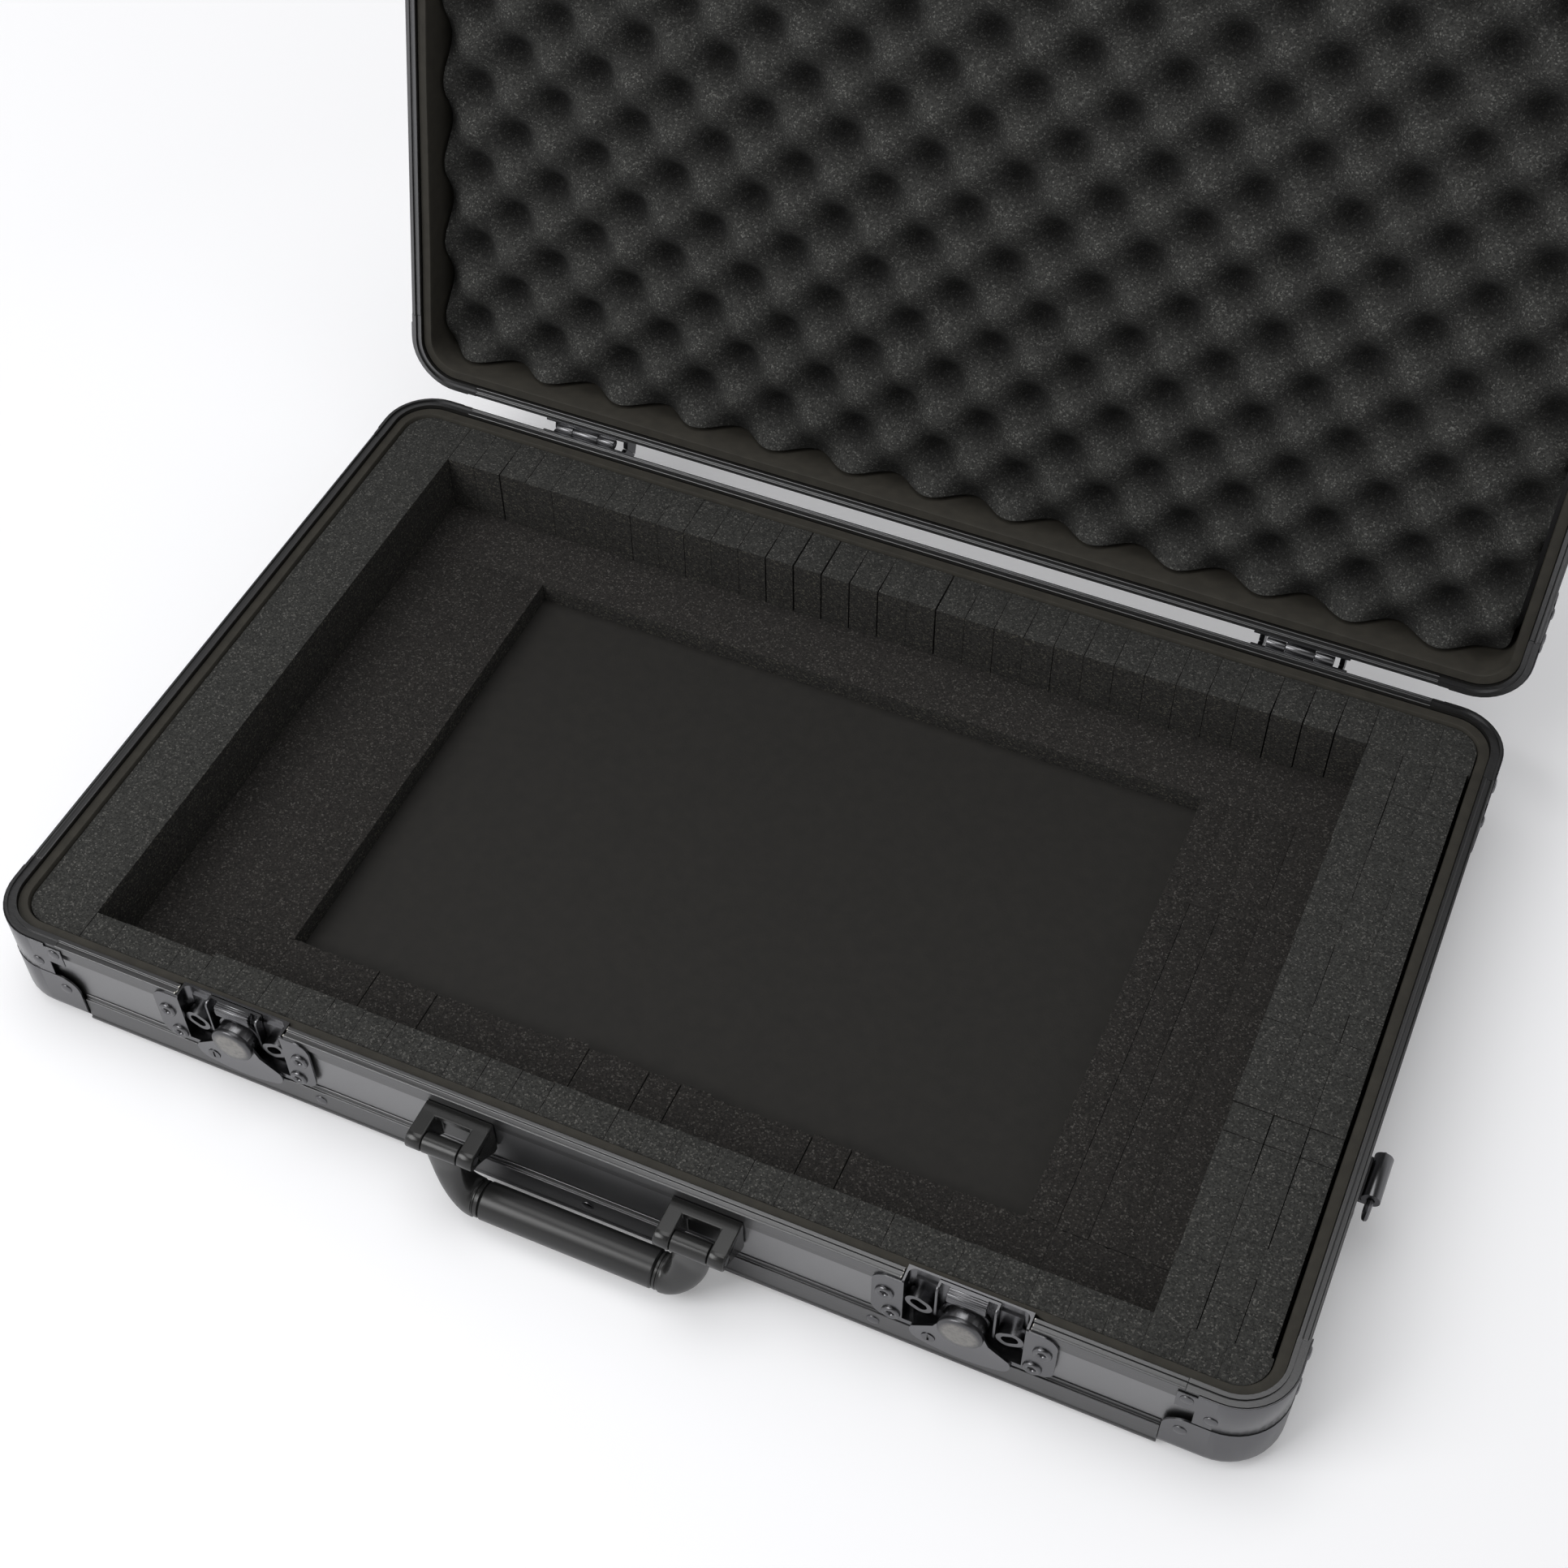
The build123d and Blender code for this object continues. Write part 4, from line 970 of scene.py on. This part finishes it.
def domed_profile(radius, height):
    """Radius and height pairs of a domed head, from its foot to its middle."""
    pairs = [(radius, 0.0), (radius, DOME_FOOT * height)]
    for k in range(1, DOME_STEPS + 1):
        angle = math.radians(90 * k / DOME_STEPS)
        rise = DOME_FOOT + (1 - DOME_FOOT) * math.sin(angle)
        pairs.append((radius * math.cos(angle) ** DOME_POWER, height * rise))
    return pairs


def tubular_profile(radius, height):
    """Radius and height pairs of a head with a rolled rim and a sunk middle."""
    return [(radius * a, height * b) for a, b in TUBE_SHARES]


def spin(profile, foot, axis, points, faces):
    """Adds a turned head to the mesh lists."""
    turn = axis.to_track_quat("Z", "Y")
    start, rings = len(points), len(profile) - 1
    for radius, height in profile[:-1]:
        for k in range(SPIN):
            angle = math.tau * k / SPIN
            points.append(foot + turn @ Vector((radius * math.cos(angle), radius * math.sin(angle), height)))
    points.append(foot + turn @ Vector((0, 0, profile[-1][1])))
    faces += ring_faces(start, SPIN, rings)
    last = start + (rings - 1) * SPIN
    faces += [(last + k, last + (k + 1) % SPIN, last + SPIN) for k in range(SPIN)]
    faces.append(cap(start, SPIN)[::-1])


print("points round a head", SPIN)

# %% Put the finished heads in their places
TUBE_FROM = 0.0036
BASE_MIDDLE = (0, 0, 0.03)
LID_MIDDLE = tuple(lid_point(0, 0, 22))


def rivets(node, name, body, inside):
    """Replaces a part's plain heads with turned ones."""
    points, faces = [], []
    for group in islands(nodes[node]):
        foot, axis, radius, height = rivet_place(group, np.array(inside))
        profile = tubular_profile if radius > TUBE_FROM else domed_profile
        spin(profile(radius, height), foot, axis, points, faces)
    piece = make_piece(name, points, faces, black_nickel, body, sharp=60.0)
    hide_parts(node)
    return piece


base_heads = rivets("base_rivets", "base_rivet_heads", "base", BASE_MIDDLE)
lid_heads = rivets("lid_rivets", "lid_rivet_heads", "lid", LID_MIDDLE)
print("rivet faces", len(base_heads.data.polygons), len(lid_heads.data.polygons))

# %% [markdown]
# ## Latch buttons and hook rolls
#
# On each latch a cast button caps the lever's boss, worn lighter in the middle by thumbs, and the hook
# carries a fluted roll. A button is turned, so it is a spun profile. The roll is a rounded bar whose outline
# ripples, so an outline with a small cosine on it, drawn along the bar, gives every flute.

# %% Worn plate of the button
WORN_MM = (6.8, 9.2)
WORN_BUMP_MM = 0.05
WORN_THROUGH = 0.55
RUBS_PER_METRE = 700.0


def worn_material(x, z):
    """Plate on a casting, rubbed through round the middle of a button."""
    material, tree, shader, here = new_material("worn_nickel_on_casting", Metallic=1.0, Roughness=0.34)
    shift = add(tree, "Mapping", {"Location": (-x * MM, 0.0, -z * MM)}, here)
    flat = add(tree, "VectorMath", {"operation": "MULTIPLY", 1: (1.0, 0.0, 1.0)}, [(0, shift, 0)])
    reach = add(tree, "VectorMath", {"operation": "LENGTH"}, [(0, flat, 0)])
    rub = add(tree, "TexNoise", {"Scale": RUBS_PER_METRE, "Detail": 4.0}, here)
    span = {"From Min": WORN_MM[0] * MM, "From Max": WORN_MM[1] * MM, "To Min": 1.0, "To Max": 0.0}
    fade = add(tree, "MapRange", span, [(0, reach, "Value")])
    worn = add(tree, "Math", {"operation": "MULTIPLY"}, [(0, fade, 0), (1, rub, 0)])
    tone = dress(tree, shader, ("#5c5c5e", "#8f8d89"), (worn, 0), (rub, 0), 0.3, WORN_BUMP_MM)
    tone.color_ramp.elements[1].position = WORN_THROUGH
    return material


print("worn within", WORN_MM[0], "mm")

# %% Outline of the roll
FRONT = -DEPTH / 2
ROLL_CENTRE = (3.2, -4.45)
ROLL_HALF = (2.55, 3.95)
ROLL_POWER = 3.0
ROLL_HALF_LENGTH = 8.7
ROLL_ENDS = (-1, -0.97, 0.97, 1)
ROLL_END_ROUND = 0.1
FLUTES = 14
FLUTE_STEPS = 8
FLUTE_DEPTH = 0.34


def fluted_roll(x):
    """Points and faces of a fluted bar along X in front of one hook."""
    points, steps = [], FLUTES * FLUTE_STEPS
    for end in ROLL_ENDS:
        for k in range(steps):
            angle = math.tau * k / steps
            c, d = math.cos(angle), math.sin(angle)
            flute = FLUTE_DEPTH / ROLL_HALF[0] * (0.5 + 0.5 * math.cos(angle * FLUTES))
            size = (abs(c) ** ROLL_POWER + abs(d) ** ROLL_POWER) ** (-1 / ROLL_POWER)
            size *= 1 - flute - ROLL_END_ROUND * (abs(end) == 1)
            y = FRONT + ROLL_CENTRE[0] + ROLL_HALF[0] * c * size
            z = BASE_RIM_Z + ROLL_CENTRE[1] + ROLL_HALF[1] * d * size
            points.append(base_point(x + end * ROLL_HALF_LENGTH, y, z))
    faces = ring_faces(0, steps, len(ROLL_ENDS))
    faces += [cap(0, steps)[::-1], cap((len(ROLL_ENDS) - 1) * steps, steps)]
    return points, faces


print("a flute's pitch, mm", round(math.pi * (ROLL_HALF[0] + ROLL_HALF[1]) / FLUTES, 2))

# %% Buttons and rolls
LEVER_DROP = 20.0
BUTTON = ((10.3, 2.3), (10.4, 3.6), (10.2, 4.3), (9.6, 4.8), (8.4, 5.05), (4.5, 5.2), (0.0, 5.25))


def in_metres(profile):
    """Radius and height pairs, from millimetres."""
    return [(radius * MM, height * MM) for radius, height in profile]


for side, x in zip(("left", "right"), LATCHES):
    points, faces = [], []
    foot = base_point(x, FRONT, BASE_RIM_Z - LEVER_DROP)
    spin(in_metres(BUTTON), foot, Vector((0, -1, 0)), points, faces)
    worn = worn_material(x, BASE_RIM_Z - LEVER_DROP)
    button = make_piece(f"{side}_lever_button", points, faces, worn, f"{side}_lever", sharp=50.0)
    roll = make_piece(f"{side}_hook_roll", *fluted_roll(x), black_nickel, f"{side}_hook", sharp=60.0)
print("button faces", len(button.data.polygons), "roll faces", len(roll.data.polygons))

# %% [markdown]
# ## The handle's arms
#
# Each arm is moulded in one piece with its barrel: it hangs from the pivot as a flat bar, then turns inwards
# in a wide crescent and swells to the round end of the grip. Its two edges are quarter ellipses about one
# middle, so sections laid between matching points of them give the crescent. A turned collar meets the grip.

# %% Section of an arm
PIVOT = (-216.0, 45.2)
GRIP_DROP = 32.7
ARM_FOOT_X = 46.0
ARM_OUTER = (22.7, 41.3)
ARM_INNER = (5.3, 24.1)
ARM_DEPTHS = ((0.0, 3.2), (12.0, 3.8), (28.1, 7.5), (GRIP_DROP, 8.7))
ARM_POWER = 2.5
ARM_AROUND = 32


def arm_section(side, angle):
    """Ring of points across the arm at an angle of its crescent."""
    c, d = math.cos(angle), math.sin(angle)
    outer = Vector((ARM_FOOT_X + ARM_OUTER[0] * c, -ARM_OUTER[1] * d))
    inner = Vector((ARM_FOOT_X + ARM_INNER[0] * c, -ARM_INNER[1] * d))
    middle, half = (outer + inner) / 2, (outer - inner) / 2
    depth = np.interp(-middle.y, *zip(*ARM_DEPTHS))
    ring = []
    for k in range(ARM_AROUND):
        turn = math.tau * k / ARM_AROUND
        u = math.copysign(abs(math.cos(turn)) ** (2 / ARM_POWER), math.cos(turn))
        v = math.copysign(abs(math.sin(turn)) ** (2 / ARM_POWER), math.sin(turn))
        spot = middle + half * u
        ring.append(base_point(side * spot.x, PIVOT[0] + side * depth * v, PIVOT[1] + spot.y))
    return ring


print("points round an arm", len(arm_section(1, 0)))

# %% Crescent arms
ARM_STEPS = 24
BARREL_END_X = 68.7
BARREL = ((4.3, 0.0), (4.8, 0.4), (4.8, 17.0), (4.3, 17.4), (0.0, 17.4))
COLLAR = ((8.7, 0.0), (8.7, 1.1), (8.2, 1.4), (8.2, 1.9), (8.7, 2.2), (8.7, 3.2), (8.4, 3.5), (0.0, 3.5))
COLLAR_OVERLAP = 0.5

arm_points, arm_faces = [], []
for side in (-1, 1):
    start = len(arm_points)
    for step in range(ARM_STEPS + 1):
        arm_points += arm_section(side, math.radians(90 * step / ARM_STEPS))
    arm_faces += ring_faces(start, ARM_AROUND, ARM_STEPS + 1)
    arm_faces += [cap(start, ARM_AROUND)[::-1], cap(start + ARM_STEPS * ARM_AROUND, ARM_AROUND)]
    inward = Vector((-side, 0, 0))
    spin(in_metres(BARREL), base_point(side * BARREL_END_X, *PIVOT), inward, arm_points, arm_faces)
    grip_end = base_point(side * (ARM_FOOT_X + COLLAR_OVERLAP), PIVOT[0], PIVOT[1] - GRIP_DROP)
    spin(in_metres(COLLAR), grip_end, inward, arm_points, arm_faces)
arms = make_piece("handle_arms", arm_points, arm_faces, polyamide, "handle", sharp=40.0)
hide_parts("handle_frame")
print("arm faces", len(arms.data.polygons))

# %% [markdown]
# ## Floor, light and camera
#
# The case lies on a plain white table under wide soft light from the left and above. A camera sees the table
# a little lighter than it lights the case, and lighter still far off, so that it stays white. The camera
# stands over the front right corner. Its place comes from the perspective of the rim's straight edges.

# %% Floor
FLOOR_SIZE = 14.0
FADE_REACH = (0.7, 3.0)
WHITE_LIFT = 0.14
FAR_LIFT = 0.5
floor_mesh = bpy.data.meshes.new("table_top")
half = FLOOR_SIZE / 2
corners = [(-half, -half, 0), (half, -half, 0), (half, half, 0), (-half, half, 0)]
floor_mesh.from_pydata(corners, [], [(0, 1, 2, 3)])
table_top = bpy.data.objects.new("table_top", floor_mesh)
bpy.context.scene.collection.objects.link(table_top)
floor_material, tree, shader, here = new_material("white_table", Base_Color=linear("#f2f2f4"), Roughness=0.6)
ray = add(tree, "LightPath", {})
reach = add(tree, "VectorMath", {"operation": "LENGTH"}, here)
far = {"From Min": FADE_REACH[0], "From Max": FADE_REACH[1], "To Min": WHITE_LIFT, "To Max": FAR_LIFT}
pale = add(tree, "MapRange", far, [(0, reach, "Value")])
lift = add(tree, "Math", {"operation": "MULTIPLY"}, [(0, ray, "Is Camera Ray"), (1, pale, 0)])
lifted = add(tree, "Emission", {}, [("Strength", lift, 0)])
surface = [(0, tree.nodes["Material Output"], "Surface")]
add(tree, "AddShader", {}, [(0, shader, 0), (1, lifted, 0)], surface)
floor_mesh.materials.append(floor_material)
print("table", FLOOR_SIZE, "m wide")

# %% [markdown]
# Metal looks like metal only when it has something dark to mirror, so the room's shade falls from a pale
# horizon to a dim ceiling.

# %% Lamps
AIM = (0, 0, 0.05)


def soft_light(name, place, size, power):
    """A square soft light aimed at the case."""
    data = bpy.data.lights.new(name, "AREA")
    data.size = size
    data.energy = power
    lamp = bpy.data.objects.new(name, data)
    lamp.location = place
    lamp.rotation_euler = (Vector(AIM) - Vector(place)).to_track_quat("-Z", "Y").to_euler()
    bpy.context.scene.collection.objects.link(lamp)


soft_light("window_left", (-1.3, -1.5, 1.9), 1.5, 34.0)
soft_light("window_top", (-0.2, 0.2, 2.4), 1.6, 16.0)
print("lamps", len(bpy.data.lights))

# %% Room
BACKDROP = "#f3f3f4"
ROOM_LIGHT = 0.5
HORIZON = 0.9
CEILING = 0.12
FALL = (0.15, 0.75)

world = bpy.data.worlds.new("studio")
bpy.context.scene.world = world
world.use_nodes = True
tree = world.node_tree
room = tree.nodes["Background"]
room.inputs["Color"].default_value = linear(BACKDROP)
room.inputs["Strength"].default_value = ROOM_LIGHT
axes = add(tree, "SeparateXYZ", {}, [(0, add(tree, "TexCoord", {}), "Generated")])
fall = {"From Min": FALL[0], "From Max": FALL[1], "To Min": HORIZON, "To Max": CEILING}
level = add(tree, "MapRange", fall, [(0, axes, 2)])
seen = add(tree, "Background", {"Color": linear(BACKDROP)}, [("Strength", level, 0)])
path = add(tree, "LightPath", {})
larger = {"operation": "MAXIMUM"}
either = add(tree, "Math", larger, [(0, path, "Is Camera Ray"), (1, path, "Is Glossy Ray")])
shown = add(tree, "Math", larger, [(0, either, 0), (1, path, "Is Transmission Ray")])
sky = [(0, tree.nodes["World Output"], "Surface")]
add(tree, "MixShader", {}, [(0, shown, 0), (1, room, 0), (2, seen, 0)], sky)
print("ceiling", CEILING)

# %% Camera
LENS_MM = 54.13
SENSOR_MM = 36.0
CAMERA_PLACE = (0.2975, -0.6353, 0.9392)
CAMERA_TURN = (39.322, 0.527, 23.892)

camera_data = bpy.data.cameras.new("photo_camera")
camera_data.lens = LENS_MM
camera_data.sensor_width = SENSOR_MM
camera = bpy.data.objects.new("photo_camera", camera_data)
camera.location = CAMERA_PLACE
camera.rotation_euler = [math.radians(angle) for angle in CAMERA_TURN]
bpy.context.scene.collection.objects.link(camera)
bpy.context.scene.camera = camera
bpy.context.scene.view_settings.view_transform = "Standard"
print("camera looks down", round(90 - CAMERA_TURN[0], 1), "degrees")
